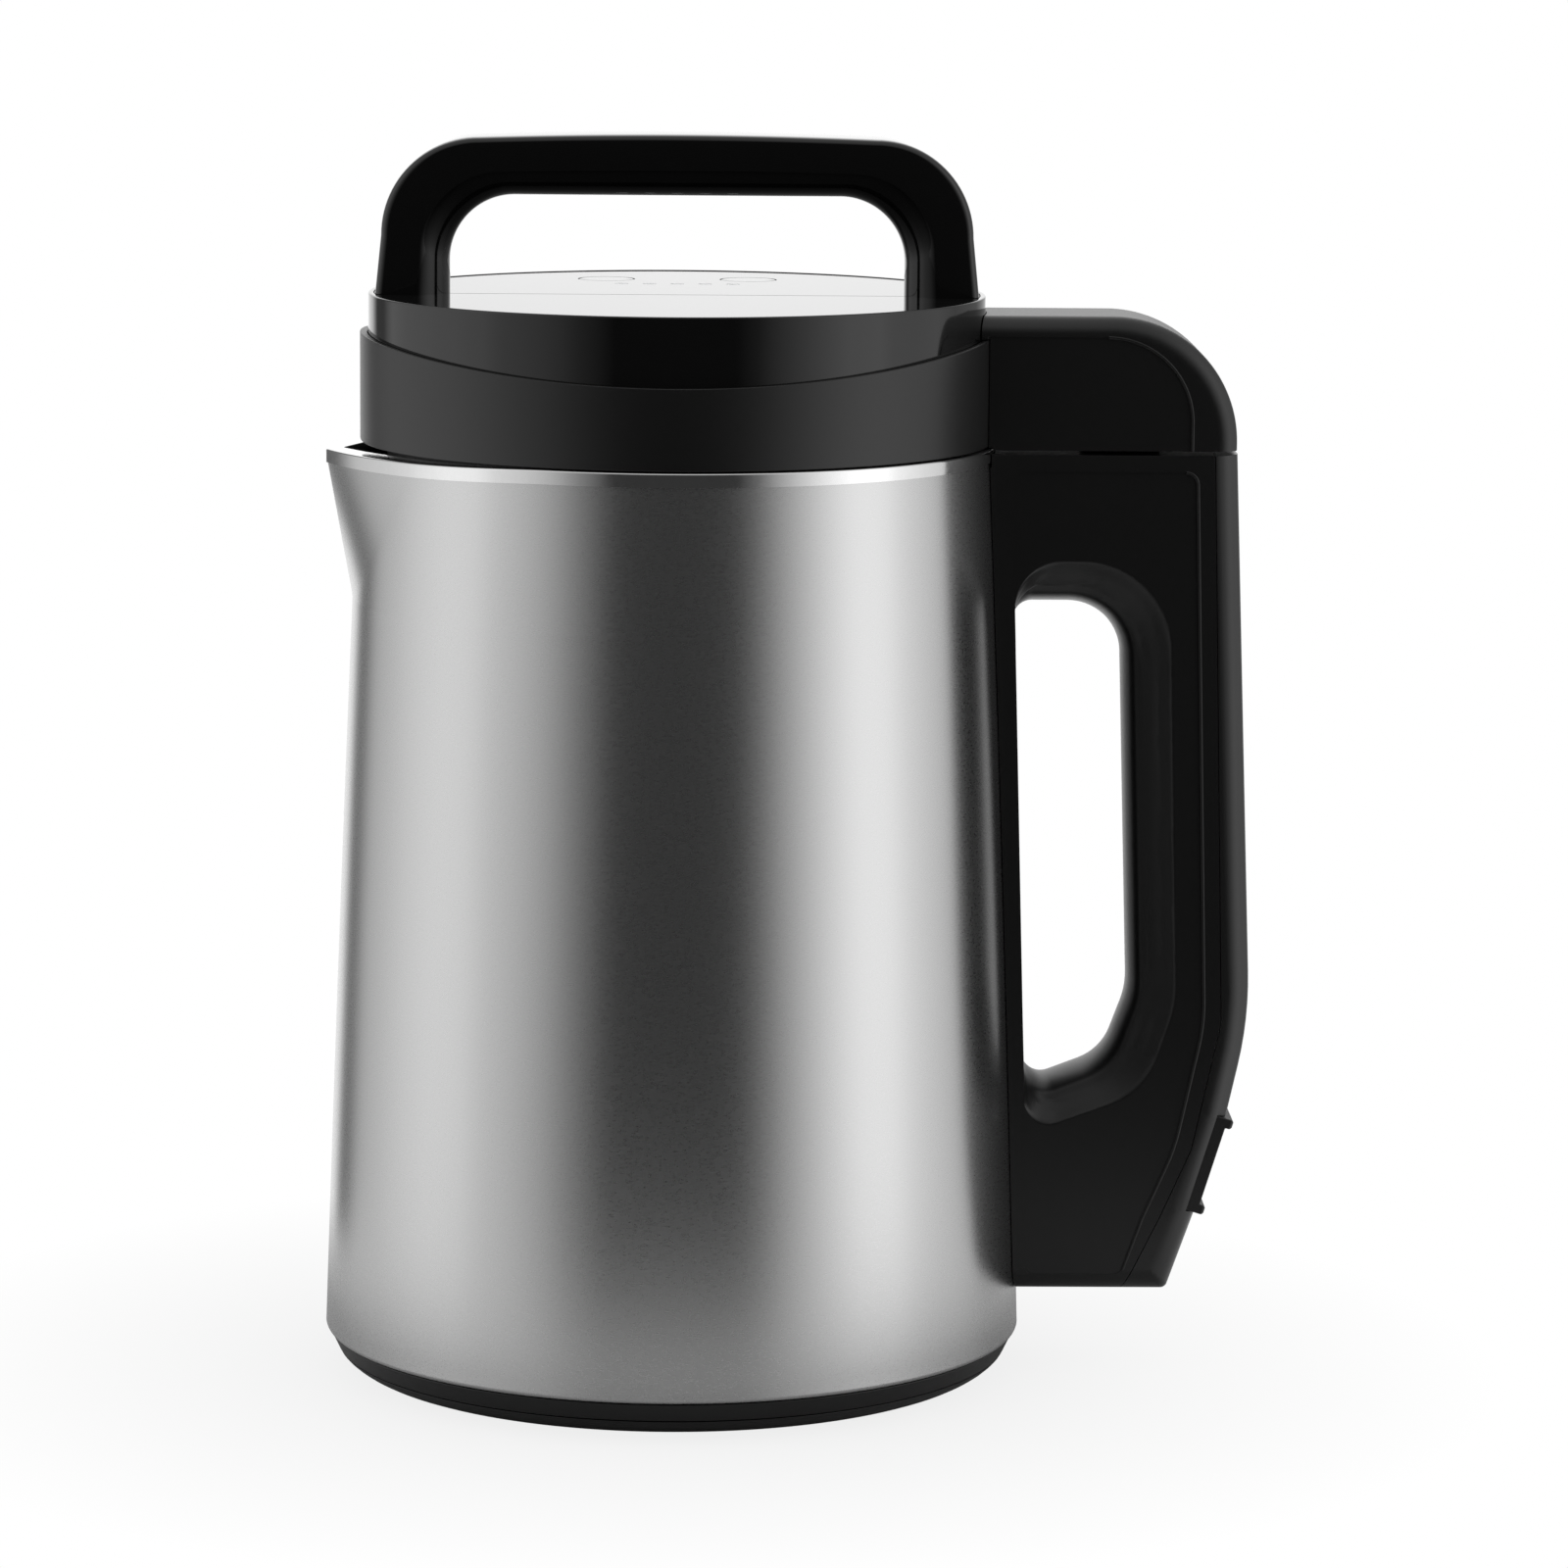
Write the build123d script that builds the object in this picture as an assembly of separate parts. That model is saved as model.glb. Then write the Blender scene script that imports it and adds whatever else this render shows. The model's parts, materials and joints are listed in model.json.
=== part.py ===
from build123d import *
import os
from math import atan2, cos, radians, sin, sqrt

# A jug soup maker, standing on its feet at z = 0 with the jug's axis on Z.
# The spout points to -X, the handle and the coupler for the lid lie on +X.
# All lengths are in millimetres.

os.makedirs("parts", exist_ok=True)

# Clearances shared by the whole assembly
overrun = 2.0
fit_gap = 0.2
seat_gap = 0.3
running_gap = 0.05
slip_gap = 0.4

# Steel jug: outer shell
shell_bottom_z = 10.2
shell_top_z = 230.0
shell_bottom_radius = 87.3
shell_top_radius = 78.6
shell_bow = 0.35
shell_wall = 0.8
shell_lip_width = 2.8
shell_edge_radius = 1.2

# Spout: reach is how far its nose stands out of the round wall at the rim
spout_length = 36.0
spout_reach = 7.8
spout_nose_radius = 6.0
spout_spread_angle = 35.0
spout_start_angle = 6.0
spout_nose_share = 0.3
spout_sections = 6

# Inner pot
pot_inset = 6.1
pot_wall = 0.8
pot_floor_z = 46.0
pot_corner_radius = 12.0
pot_spout_length = 30.0
pot_spout_reach = 9.7
pot_nose_radius = 3.0

# Rim: the pot's polished flange over the shell's top edge
rim_height = 3.4
rim_plate = 1.2
rim_skirt = 1.0
rim_overhang = 0.4
rim_edge_radius = 0.7

# Base ring, bottom cover, feet and screws
foot_lift = 0.9
foot_radius = 7.0
foot_height = 2.2
foot_chamfer = 0.8
foot_inset = 11.0
foot_count = 4
base_edge_z = 5.2
base_top_inset = 0.9
base_mid_inset = 3.1
base_floor_inset = 10.3
base_wall = 2.5
base_seam = 0.2
base_bulge_share = 0.6
spigot_height = 7.0
spigot_wall = 2.5
base_web_hole = 38.0
boss_radius = 4.0
boss_height = 7.0
base_screw_inset = 17.0
screw_radius = 1.6
screw_head_radius = 3.0
screw_head_height = 1.8
screw_length = 9.0

# Heater under the pot
heater_inset = 12.5
heater_thickness = 3.0
element_circle = 46.0
element_radius = 3.3
element_sink = 1.5
element_angle = 290.0
terminal_radius = 1.5
terminal_length = 9.0
thermostat_radius = 8.0
thermostat_height = 6.0
sensor_radius = 4.0
sensor_length = 8.0
sensor_offset = 24.0
fuse_radius = 2.5
fuse_length = 18.0
fuse_offset = 26.0
bracket_length = 64.0
bracket_width = 11.0
bracket_sheet = 1.2

# Jug handle: outline in the XZ plane and its moulding
handle_half_width = 17.0
handle_root_depth = 8.6
handle_top_reach = 59.79
handle_top_rise = 2.0
handle_knee_reach = 59.45
handle_knee_z = 90.4
handle_slope_top_reach = 53.24
handle_slope_top_z = 66.0
handle_slope_foot_reach = 44.65
handle_slope_foot_z = 41.0
handle_toe_reach = 37.08
handle_bottom_z = 21.4
handle_knee_radius = 95.0
handle_slope_radius = 50.0
handle_toe_radius = 1.5
handle_edge_radius = 6.5
spine_top_reach = 53.89
spine_knee_reach = 51.93
spine_knee_z = 90.0
spine_slope_reach = 43.85
spine_slope_z = 58.0
spine_heel_reach = 35.53
spine_heel_z = 40.5
spine_toe_reach = 25.48
spine_wall = 2.5
spine_side_wall = 3.5
spine_seam = 0.2

# Grip opening and the hollow scoop round it
grip_top_drop = 35.7
grip_left_top_reach = 3.0
grip_left_foot_reach = 2.76
grip_left_foot_z = 72.0
grip_right_top_reach = 30.1
grip_right_foot_reach = 29.36
grip_right_foot_z = 96.0
grip_floor_reach = 22.64
grip_floor_z = 79.5
grip_corner_radius = 5.0
grip_shoulder_radius = 13.5
grip_knee_radius = 20.0
grip_heel_radius = 13.0
scoop_width = 12.0
scoop_depth = 5.0
scoop_steps = 3
scoop_shoulder_share = 0.75
scoop_corner_share = 0.6
scoop_floor_share = 0.9
scoop_diagonal_share = 0.6
panel_depth = 0.4
panel_margin = 4.2
panel_corner_radius = 3.0

# Hollow inside the handle, open to the spine cover
channel_half_width = 9.5
channel_wall = 5.5
channel_root_reach = 4.7
channel_floor_z = 26.0
channel_roof = 3.0

# Brackets that hold the handle to the shell
bracket_cover = 3.0
bracket_half_width = 8.0
bracket_height = 15.0
upper_bracket_drop = 25.0
lower_bracket_z = 44.0
fixing_pitch = 7.0

# Mains inlet in the slanted spine
inlet_height = 25.2
inlet_width = 31.0
inlet_front_depth = 4.0
inlet_lip_height = 2.4
inlet_lip_proud = 1.9
inlet_face_proud = 0.3
inlet_body_height = 19.0
inlet_body_width = 27.0
inlet_body_depth = 19.0
inlet_recess_height = 15.4
inlet_recess_width = 22.8
inlet_recess_depth = 14.5
inlet_corner = 4.0
inlet_plug_height = 4.0
inlet_pin_width = 2.0
inlet_pin_height = 4.0
inlet_pin_length = 22.0
inlet_pin_pitch = 7.0
inlet_earth_offset = 2.5

# Coupler between the handle and the lid
coupler_reach = 31.4
socket_half_length = 12.0
socket_half_width = 7.6
socket_bottom_drop = 18.0
socket_top_rise = 1.2
socket_flange = 1.9
socket_side_gap = 4.1
socket_flange_height = 2.0
plug_half_length = 9.6
plug_half_width = 5.2
plug_bottom_drop = 7.0
socket_floor_drop = 1.0
pin_count = 4
pin_pitch = 5.0
pin_radius = 1.0
pin_length = 8.0
contact_wall = 0.3
contact_height = 7.0

# Wiring
wire_radius = 1.9
wire_hole_radius = 2.3
wire_entry_z = 34.0
wire_end_x = 58.0

# Lid: matt collar, gloss ring, plates
collar_inset = 0.4
collar_lower_wall = 2.8
collar_upper_wall = 1.8
wave_low_rise = 23.3
wave_radius = 430.0
ledge_thickness = 3.0
ledge_top_rise = 14.0
ledge_hole_radius = 38.0
ring_inset = 2.4
ring_wall = 2.8
ring_top_rise = 40.0
ring_lip = 1.4
ring_edge_radius = 0.8
ring_ledge_width = 3.4
ring_ledge_height = 2.5
plate_drop = 1.2
plate_thickness = 1.4
plate_split_y = -5.2
plate_split_gap = 0.4
lug_root_inset = 21.2
lug_half_width = 9.0
lug_height = 5.0

# Lid handle: outline in the XZ plane
bow_foot_inset = 1.9
bow_shoulder_inset = 3.5
bow_shoulder_rise = 77.3
bow_top_rise = 79.3
bow_corner_radius = 24.0
bow_inner_inset = 20.2
bow_inner_top_rise = 63.8
bow_inner_radius = 16.0
bow_half_width = 12.0
bow_outer_round = 3.0
bow_inner_round = 7.0
tenon_inset = 4.5
tenon_half_width = 6.0
bow_screw_length = 14.0
bow_screw_offset = 4.0

# Lid arm over the jug handle
arm_half_width = 17.0
arm_end_reach = 59.4
arm_top_rise = 35.8
arm_bottom_rise = 3.0
arm_corner_radius = 31.0
arm_edge_radius = 5.0
arm_wall = 2.5
arm_panel_drop = 4.9
arm_panel_inset = 11.3
arm_panel_radius = 21.0
tongue_thickness = 2.5
tongue_reach = 17.0
tongue_window_height = 8.0
arm_screw_offset = 8.0
arm_base_thickness = 2.5

# Lid cup and seal
cup_inset = 1.0
cup_wall = 2.0
cup_bottom_drop = 15.8
cup_floor = 2.5
cup_flange_bottom_rise = 7.9
cup_flange_width = 3.7
cup_boss_inset = 9.5
cup_boss_radius = 4.5
cup_screw_count = 4
hub_radius = 14.6
hub_spigot_radius = 13.0
hub_depth = 14.0
seal_height = 4.0

# Controls
board_bottom_rise = 26.0
board_thickness = 1.6
board_half_length = 34.0
board_near_inset = 44.2
board_far_inset = 16.2
post_radius = 3.0
post_margin = 5.0
switch_size = 6.0
switch_height = 3.6
button_x = 18.0
button_inset = 30.2
button_radius = 7.0
button_flange = 1.4
button_flange_height = 2.2
button_gap = 0.25
button_travel = 0.8
button_stem_radius = 2.0
lens_count = 5
lens_pitch = 7.0
lens_inset = 46.2
lens_radius = 1.6
lens_length = 6.0

# Motor in the lid
can_radius = 27.0
can_wall = 1.6
can_top_rise = 25.0
can_floor_hole = 11.0
shaft_radius = 4.0
shaft_top_rise = 35.4
shaft_shoulder_lift = 20.0
thread_radius = 3.0
shaft_bottom_lift = 9.0
bearing_radius = 11.0
bearing_height = 7.0
upper_bearing_radius = 8.0
upper_bearing_height = 5.0
end_cap_thickness = 2.5
end_cap_boss_wall = 2.5
core_radius = 19.5
core_bottom_drop = 8.0
core_height = 18.0
core_slots = 8
slot_width = 3.2
slot_depth = 7.5
slot_mouth = 1.6
winding_radius = 16.5
winding_height = 2.6
commutator_radius = 8.0
commutator_height = 6.5
magnet_inner_radius = 20.4
magnet_height = 22.0
magnet_angle = 130.0
brush_width = 4.0
brush_length = 9.0
holder_wall = 1.6
fan_radius = 23.0
fan_hub_radius = 7.0
fan_height = 5.0
fan_plate = 1.0
fan_blades = 9
fan_blade_thickness = 1.0

# Column, blade and probe that hang into the pot
column_radius = 12.5
column_wall = 0.8
column_bottom_lift = 32.0
column_seat = 9.0
bush_height = 10.0
seal_lip_height = 6.0
blade_hub_radius = 8.0
blade_thickness = 1.5
wing_count = 4
wing_length = 20.0
wing_root_width = 9.0
wing_tip_width = 5.0
wing_bend = 28.0
nut_flats = 10.0
nut_height = 5.0
probe_radius = 2.5
probe_length = 24.0
probe_x = -50.0
probe_collar_radius = 4.5
probe_collar_height = 2.0


def shell_radius(z):
    """Outer radius of the shell at a height: a straight taper with a slight bow."""
    share = (z - shell_bottom_z) / (shell_top_z - shell_bottom_z)
    taper = shell_bottom_radius + (shell_top_radius - shell_bottom_radius) * share
    return taper + 4 * shell_bow * share * (1 - share)


# Places worked out from the sizes above
base_top_radius = shell_bottom_radius - base_top_inset
base_mid_radius = shell_bottom_radius - base_mid_inset
base_floor_radius = shell_bottom_radius - base_floor_inset
foot_circle = base_floor_radius - foot_inset
base_screw_circle = base_floor_radius - base_screw_inset
pot_radius = shell_top_radius - pot_inset
heater_radius = pot_radius - heater_inset
collar_radius = shell_top_radius - collar_inset
ring_radius = shell_top_radius - ring_inset
cup_radius = pot_radius - cup_inset
cup_boss_circle = cup_radius - cup_boss_inset
lug_root_x = ring_radius - lug_root_inset
board_near_y = ring_radius - board_near_inset
board_far_y = ring_radius - board_far_inset
button_y = ring_radius - button_inset
lens_y = ring_radius - lens_inset
bow_foot_x = ring_radius - bow_foot_inset
bow_shoulder_x = ring_radius - bow_shoulder_inset
bow_inner_x = ring_radius - bow_inner_inset
ledge_top_z = shell_top_z + ledge_top_rise
wave_low_z = shell_top_z + wave_low_rise
ring_top_z = shell_top_z + ring_top_rise
bow_shoulder_z = shell_top_z + bow_shoulder_rise
bow_top_z = shell_top_z + bow_top_rise
bow_inner_top_z = shell_top_z + bow_inner_top_rise
arm_top_z = shell_top_z + arm_top_rise
arm_bottom_z = shell_top_z + arm_bottom_rise
cup_flange_bottom_z = shell_top_z + cup_flange_bottom_rise
board_bottom_z = shell_top_z + board_bottom_rise
can_top_z = shell_top_z + can_top_rise
shaft_top_z = shell_top_z + shaft_top_rise
socket_top_z = shell_top_z + socket_top_rise
handle_top_z = shell_top_z + handle_top_rise
grip_top_z = shell_top_z - grip_top_drop
cup_bottom_z = shell_top_z - cup_bottom_drop
core_bottom_z = shell_top_z - core_bottom_drop
socket_bottom_z = shell_top_z - socket_bottom_drop
plug_bottom_z = shell_top_z - plug_bottom_drop
upper_bracket_z = shell_top_z - upper_bracket_drop
shaft_shoulder_z = pot_floor_z + shaft_shoulder_lift
shaft_bottom_z = pot_floor_z + shaft_bottom_lift
column_bottom_z = pot_floor_z + column_bottom_lift
handle_top_x = shell_radius(handle_top_z) + handle_top_reach
handle_knee_x = shell_radius(handle_knee_z) + handle_knee_reach
handle_slope_top_x = shell_radius(handle_slope_top_z) + handle_slope_top_reach
handle_slope_foot_x = shell_radius(handle_slope_foot_z) + handle_slope_foot_reach
handle_toe_x = shell_radius(handle_bottom_z) + handle_toe_reach
spine_top_x = shell_radius(handle_top_z) + spine_top_reach
spine_knee_x = shell_radius(spine_knee_z) + spine_knee_reach
spine_slope_x = shell_radius(spine_slope_z) + spine_slope_reach
spine_heel_x = shell_radius(spine_heel_z) + spine_heel_reach
spine_toe_x = shell_radius(handle_bottom_z) + spine_toe_reach
grip_left_top_x = shell_radius(grip_top_z) + grip_left_top_reach
grip_left_foot_x = shell_radius(grip_left_foot_z) + grip_left_foot_reach
grip_right_top_x = shell_radius(grip_top_z) + grip_right_top_reach
grip_right_foot_x = shell_radius(grip_right_foot_z) + grip_right_foot_reach
grip_floor_x = shell_radius(grip_floor_z) + grip_floor_reach
handle_root_x = shell_top_radius - handle_root_depth
channel_root_x = shell_bottom_radius + channel_root_reach
coupler_x = shell_top_radius + coupler_reach
arm_end_x = shell_top_radius + arm_end_reach
socket_root_x = coupler_x - socket_half_length - socket_flange - socket_side_gap
rim_top_z = shell_top_z + rim_height
rim_radius = shell_top_radius + rim_overhang
pot_outer_radius = pot_radius + pot_wall
pot_bottom_z = pot_floor_z - pot_wall
pot_floor_radius = pot_outer_radius - pot_corner_radius
heater_bottom_z = pot_bottom_z - heater_thickness
thermostat_bottom_z = heater_bottom_z - thermostat_height
spout_start_z = shell_top_z - spout_length
pot_spout_start_z = shell_top_z - pot_spout_length
collar_bottom_z = rim_top_z + seat_gap
collar_inner_radius = collar_radius - collar_lower_wall
collar_bore_radius = collar_radius - collar_upper_wall
ledge_bottom_z = ledge_top_z - ledge_thickness
ring_bottom_z = ledge_top_z + fit_gap
ring_inner_radius = ring_radius - ring_wall
plate_radius = ring_radius - ring_lip - fit_gap
plate_top_z = ring_top_z - plate_drop
plate_bottom_z = plate_top_z - plate_thickness
lug_bottom_z = plate_bottom_z - lug_height
cup_top_z = ledge_bottom_z - fit_gap
cup_inner_z = cup_bottom_z + cup_floor
hub_bottom_z = cup_bottom_z - hub_depth
bearing_seat_z = cup_inner_z - bearing_height - fit_gap
column_top_z = bearing_seat_z - fit_gap
cap_top_z = can_top_z + end_cap_thickness
fan_bottom_z = cap_top_z + fit_gap * 5
core_top_z = core_bottom_z + core_height
board_top_z = board_bottom_z + board_thickness
arm_base_top_z = arm_bottom_z + arm_base_thickness
inlet_slope = atan2(handle_slope_top_x - handle_slope_foot_x, handle_slope_top_z - handle_slope_foot_z)
board_mid_y = (board_near_y + board_far_y) / 2


def save(name, shape):
    """Write one piece to its own STEP file."""
    export_step(shape, f"parts/{name}.step")


def disc(radius, low, high):
    """A round plate or bar about Z from low to high."""
    return extrude(Plane.XY.offset(low) * Circle(radius), high - low)


def tube(outer, inner, low, high):
    """A ring or tube about Z from low to high."""
    return disc(outer, low, high) - disc(inner, low - overrun, high + overrun)


def block(x_low, x_high, y_low, y_high, z_low, z_high):
    """A box between two corners."""
    middle = ((x_low + x_high) / 2, (y_low + y_high) / 2, (z_low + z_high) / 2)
    return Pos(*middle) * Box(x_high - x_low, y_high - y_low, z_high - z_low)


def turned(*points):
    """A solid turned about Z from a closed outline of (radius, height) points."""
    return revolve(Plane.XZ * make_face(Polyline(*points, close=True)), Axis.Z)


def upright(face, half_width):
    """A solid pressed out of a face in the XZ plane to both sides."""
    return extrude(Plane.XZ * face, half_width, both=True)


def along_y_edges(shape, low, high):
    """Edges whose middle lies between two distances from the XZ plane."""
    return [edge for edge in shape.edges() if low < abs(edge.center().Y) < high]


def ring_places(count, circle, start):
    """Evenly spaced places on a circle, the first at the start angle."""
    return [Rot(0, 0, start + 360 * index / count) * Pos(circle, 0, 0) for index in range(count)]


def jug_form(inset, low, high, roll=0):
    """The solid inside the jug's round outer surface, moved in by inset, with a rolled lower edge."""
    middle = (low + high) / 2
    wall = ThreePointArc(
        (shell_radius(low + roll) - inset, low + roll),
        (shell_radius(middle) - inset, middle),
        (shell_radius(high) - inset, high),
    )
    edges = [wall]
    start = wall @ 0
    if roll > 0:
        lean = radians(45)
        edges.append(
            ThreePointArc(
                (start.X - roll, low),
                (start.X - roll + roll * sin(lean), low + roll - roll * cos(lean)),
                (start.X, start.Y),
            )
        )
        start = edges[-1] @ 0
    rest = Polyline(wall @ 1, (0, high), (0, low), start)
    return revolve(Plane.XZ * make_face(edges + rest.edges()), Axis.Z)


def spout_half(radius, reach, spread, nose):
    """Half of a spout outline: where it leaves the wall, mid flank, start of the nose, tip."""
    if reach == 0:
        angles = [spread, spread * (1 + spout_nose_share) / 2, spread * spout_nose_share, 0]
        return [(-radius * cos(angle), radius * sin(angle)) for angle in angles]
    far = radius + reach - nose
    near = radius - nose
    shift = (far**2 - near**2) / (2 * (near - far * cos(spread)))
    centre_x, centre_y = shift * cos(spread), -shift * sin(spread)
    touch = atan2(shift * sin(spread), far + shift * cos(spread))
    flank = radius + shift
    places = [
        (centre_x - flank * cos(angle), centre_y + flank * sin(angle))
        for angle in (spread, (spread + touch) / 2, touch)
    ]
    return places + [(-radius - reach, 0)]


def spout_outline(radius, reach, spread, nose):
    """Closed outline of the round wall with its spout."""
    leave, flank, touch, tip = spout_half(radius, reach, spread, nose)
    edges = [
        ThreePointArc(leave, flank, touch),
        ThreePointArc(touch, tip, (touch[0], -touch[1])),
        ThreePointArc((touch[0], -touch[1]), (flank[0], -flank[1]), (leave[0], -leave[1])),
        ThreePointArc((leave[0], -leave[1]), (radius, 0), leave),
    ]
    return make_face(edges)


def spout_form(radius_at, reach, nose, low, high):
    """Loft of the wall and its spout, which grows from nothing at low to its reach at high."""
    faces = []
    for index in range(spout_sections + 1):
        share = index / spout_sections
        z = low + (high - low) * share
        spread_squared = spout_start_angle**2 + (spout_spread_angle**2 - spout_start_angle**2) * share
        outline = spout_outline(radius_at(z), reach * share, radians(sqrt(spread_squared)), nose)
        faces.append(Pos(0, 0, z) * outline)
    return loft(faces)


def rim_outline(radius, reach, nose):
    """Outline of the wall and spout at the rim."""
    return spout_outline(radius, reach, radians(spout_spread_angle), nose)


def outer_shell():
    """Drawn steel sleeve with a rolled bottom lip and the pressed spout."""
    inner_bottom = shell_bottom_z + shell_wall
    body = jug_form(0, shell_bottom_z, spout_start_z, shell_edge_radius)
    body += spout_form(shell_radius, spout_reach, spout_nose_radius, spout_start_z, shell_top_z)
    inside = jug_form(shell_wall, inner_bottom, spout_start_z)
    inside += spout_form(
        lambda z: shell_radius(z) - shell_wall,
        spout_reach,
        spout_nose_radius - shell_wall,
        spout_start_z,
        shell_top_z,
    )
    body -= inside
    body -= disc(shell_bottom_radius - shell_lip_width, shell_bottom_z - overrun, inner_bottom + overrun)
    body -= wire_hole()
    return body


def wire_hole():
    """Hole in the shell where the wires pass from the handle to the base."""
    wall_x = shell_radius(wire_entry_z)
    hole = Rot(0, 90, 0) * Cylinder(wire_hole_radius, spigot_wall + 4 * overrun)
    return Pos(wall_x, 0, wire_entry_z) * hole


def pot_form(inset, low):
    """The solid inside the pot's outer surface, moved in by inset."""
    radius = pot_outer_radius - inset
    body = disc(radius, low, pot_spout_start_z)
    corner = body.edges().group_by(Axis.Z)[0]
    body = fillet(corner, pot_corner_radius - inset)
    nose = pot_nose_radius + pot_wall - inset
    return body + spout_form(lambda z: radius, pot_spout_reach, nose, pot_spout_start_z, shell_top_z)


def rim():
    """Polished flange: a flat top plate with a skirt that stands on the shell's edge."""
    outer = rim_outline(rim_radius, spout_reach, spout_nose_radius + rim_overhang)
    hollow = rim_outline(
        rim_radius - rim_skirt, spout_reach, spout_nose_radius + rim_overhang - rim_skirt
    )
    mouth = rim_outline(pot_radius, pot_spout_reach, pot_nose_radius)
    body = extrude(Pos(0, 0, shell_top_z) * outer, rim_height)
    top_edges = body.edges().group_by(Axis.Z)[-1]
    body = fillet(top_edges, rim_edge_radius)
    body -= extrude(Pos(0, 0, shell_top_z) * hollow, rim_height - rim_plate)
    return body - extrude(Pos(0, 0, shell_top_z) * mouth, rim_height)


def inner_pot():
    """Drawn pot wall with its rolled corner, spout channel and polished rim."""
    body = pot_form(0, pot_bottom_z)
    neck = rim_outline(pot_outer_radius, pot_spout_reach, pot_nose_radius + pot_wall)
    body += extrude(Pos(0, 0, shell_top_z) * neck, rim_height - rim_plate)
    inside = pot_form(pot_wall, pot_floor_z)
    mouth = rim_outline(pot_radius, pot_spout_reach, pot_nose_radius)
    inside += extrude(Pos(0, 0, shell_top_z) * mouth, rim_height)
    inside += disc(pot_floor_radius, pot_bottom_z - overrun, pot_floor_z + overrun)
    return (body - inside) + rim()


def pot_floor():
    """Flat floor plate, seam welded into the pot's rolled corner."""
    return disc(pot_floor_radius - running_gap, pot_bottom_z, pot_floor_z)


def base_ring():
    """Moulded ring under the shell, with a spigot inside it and bosses for the cover's screws."""
    spigot_radius = shell_bottom_radius - shell_lip_width - fit_gap
    top_z = shell_bottom_z - fit_gap
    web_top_z = base_edge_z + base_wall
    body = turned(
        (base_web_hole, base_edge_z + base_seam),
        (base_mid_radius, base_edge_z + base_seam),
        (base_top_radius, top_z),
        (spigot_radius, top_z),
        (spigot_radius, top_z + spigot_height),
        (spigot_radius - spigot_wall, top_z + spigot_height),
        (spigot_radius - spigot_wall, web_top_z),
        (base_web_hole, web_top_z),
    )
    for place in ring_places(foot_count, base_screw_circle, 0):
        body += place * disc(boss_radius, web_top_z, web_top_z + boss_height)
        body -= place * disc(screw_radius + running_gap, 0, web_top_z + boss_height - base_wall)
    return body


def base_cover():
    """Dished bottom cover with recesses for the feet and countersunk screw holes."""
    drop = base_edge_z - foot_lift
    spread = base_mid_radius - base_floor_radius
    middle = (base_floor_radius + spread * base_bulge_share, foot_lift + drop * (1 - base_bulge_share))
    edge = ThreePointArc((base_floor_radius, foot_lift), middle, (base_mid_radius, base_edge_z))
    floor_top = foot_lift + base_wall
    rest = Polyline(
        (base_mid_radius, base_edge_z),
        (base_mid_radius - base_wall, base_edge_z),
        (base_floor_radius - base_wall, floor_top),
        (0, floor_top),
        (0, foot_lift),
        (base_floor_radius, foot_lift),
    )
    body = revolve(Plane.XZ * make_face([edge] + rest.edges()), Axis.Z)
    for place in ring_places(foot_count, base_screw_circle, 0):
        body += place * disc(boss_radius + screw_head_height, floor_top, base_edge_z)
        body -= place * disc(screw_radius + fit_gap, 0, base_edge_z + overrun)
        body -= place * disc(screw_head_radius + fit_gap, 0, foot_lift + screw_head_height + fit_gap)
    for place in ring_places(foot_count, foot_circle, 180 / foot_count):
        body -= place * disc(foot_radius + fit_gap, 0, foot_height)
    return body


def rubber_feet():
    """Four round feet in the cover's recesses."""
    foot = disc(foot_radius, 0, foot_height)
    foot = chamfer(foot.edges().group_by(Axis.Z)[0], foot_chamfer)
    return Compound([place * foot for place in ring_places(foot_count, foot_circle, 180 / foot_count)])


def pan_screw(length, head_radius, head_height):
    """A pan head screw that points up, with the seat of its head at z = 0."""
    return disc(screw_radius, 0, length) + disc(head_radius, -head_height, 0)


def base_screws():
    """Four screws through the cover into the base ring."""
    seat_z = foot_lift + screw_head_height + fit_gap
    screw = Pos(0, 0, seat_z) * pan_screw(screw_length, screw_head_radius, screw_head_height)
    return Compound([place * screw for place in ring_places(foot_count, base_screw_circle, 0)])


def element_solid(radius):
    """The bent tube of the heating element, open towards the handle."""
    centre_z = heater_bottom_z + element_sink - element_radius
    section = Plane.XZ * Pos(element_circle, centre_z) * Circle(radius)
    return Rot(0, 0, (360 - element_angle) / 2) * revolve(section, Axis.Z, element_angle)


def heater_plate():
    """Aluminium plate under the pot's floor with a groove for the element."""
    return disc(heater_radius, heater_bottom_z, pot_bottom_z) - element_solid(element_radius + running_gap)


def heating_element():
    """Tubular element with a terminal pin turned down at each end."""
    centre_z = heater_bottom_z + element_sink - element_radius
    body = element_solid(element_radius)
    inward = (360 - element_angle) / 2 + element_radius
    for side in (-1, 1):
        pin = disc(terminal_radius, centre_z - terminal_length, centre_z)
        body += Rot(0, 0, side * inward) * Pos(element_circle, 0, 0) * pin
    return body


def thermostat():
    """Disc thermostat under the middle of the heater plate, with two tabs."""
    body = disc(thermostat_radius, thermostat_bottom_z, heater_bottom_z)
    tab_z = thermostat_bottom_z + thermostat_height / 2
    reach = thermostat_radius + sensor_radius
    tabs = block(-reach, reach, -sensor_radius / 2, sensor_radius / 2, tab_z, tab_z + bracket_sheet)
    return body + tabs


def temperature_sensor():
    """Round sensor cup pressed against the heater plate."""
    body = disc(sensor_radius, heater_bottom_z - sensor_length, heater_bottom_z)
    return Pos(0, sensor_offset, 0) * body


def thermal_fuse():
    """Small cut-out fuse that lies under the heater plate."""
    body = Rot(90, 0, 0) * Cylinder(fuse_radius, fuse_length)
    return Pos(-fuse_offset, 0, heater_bottom_z - fuse_radius - running_gap) * body


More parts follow.
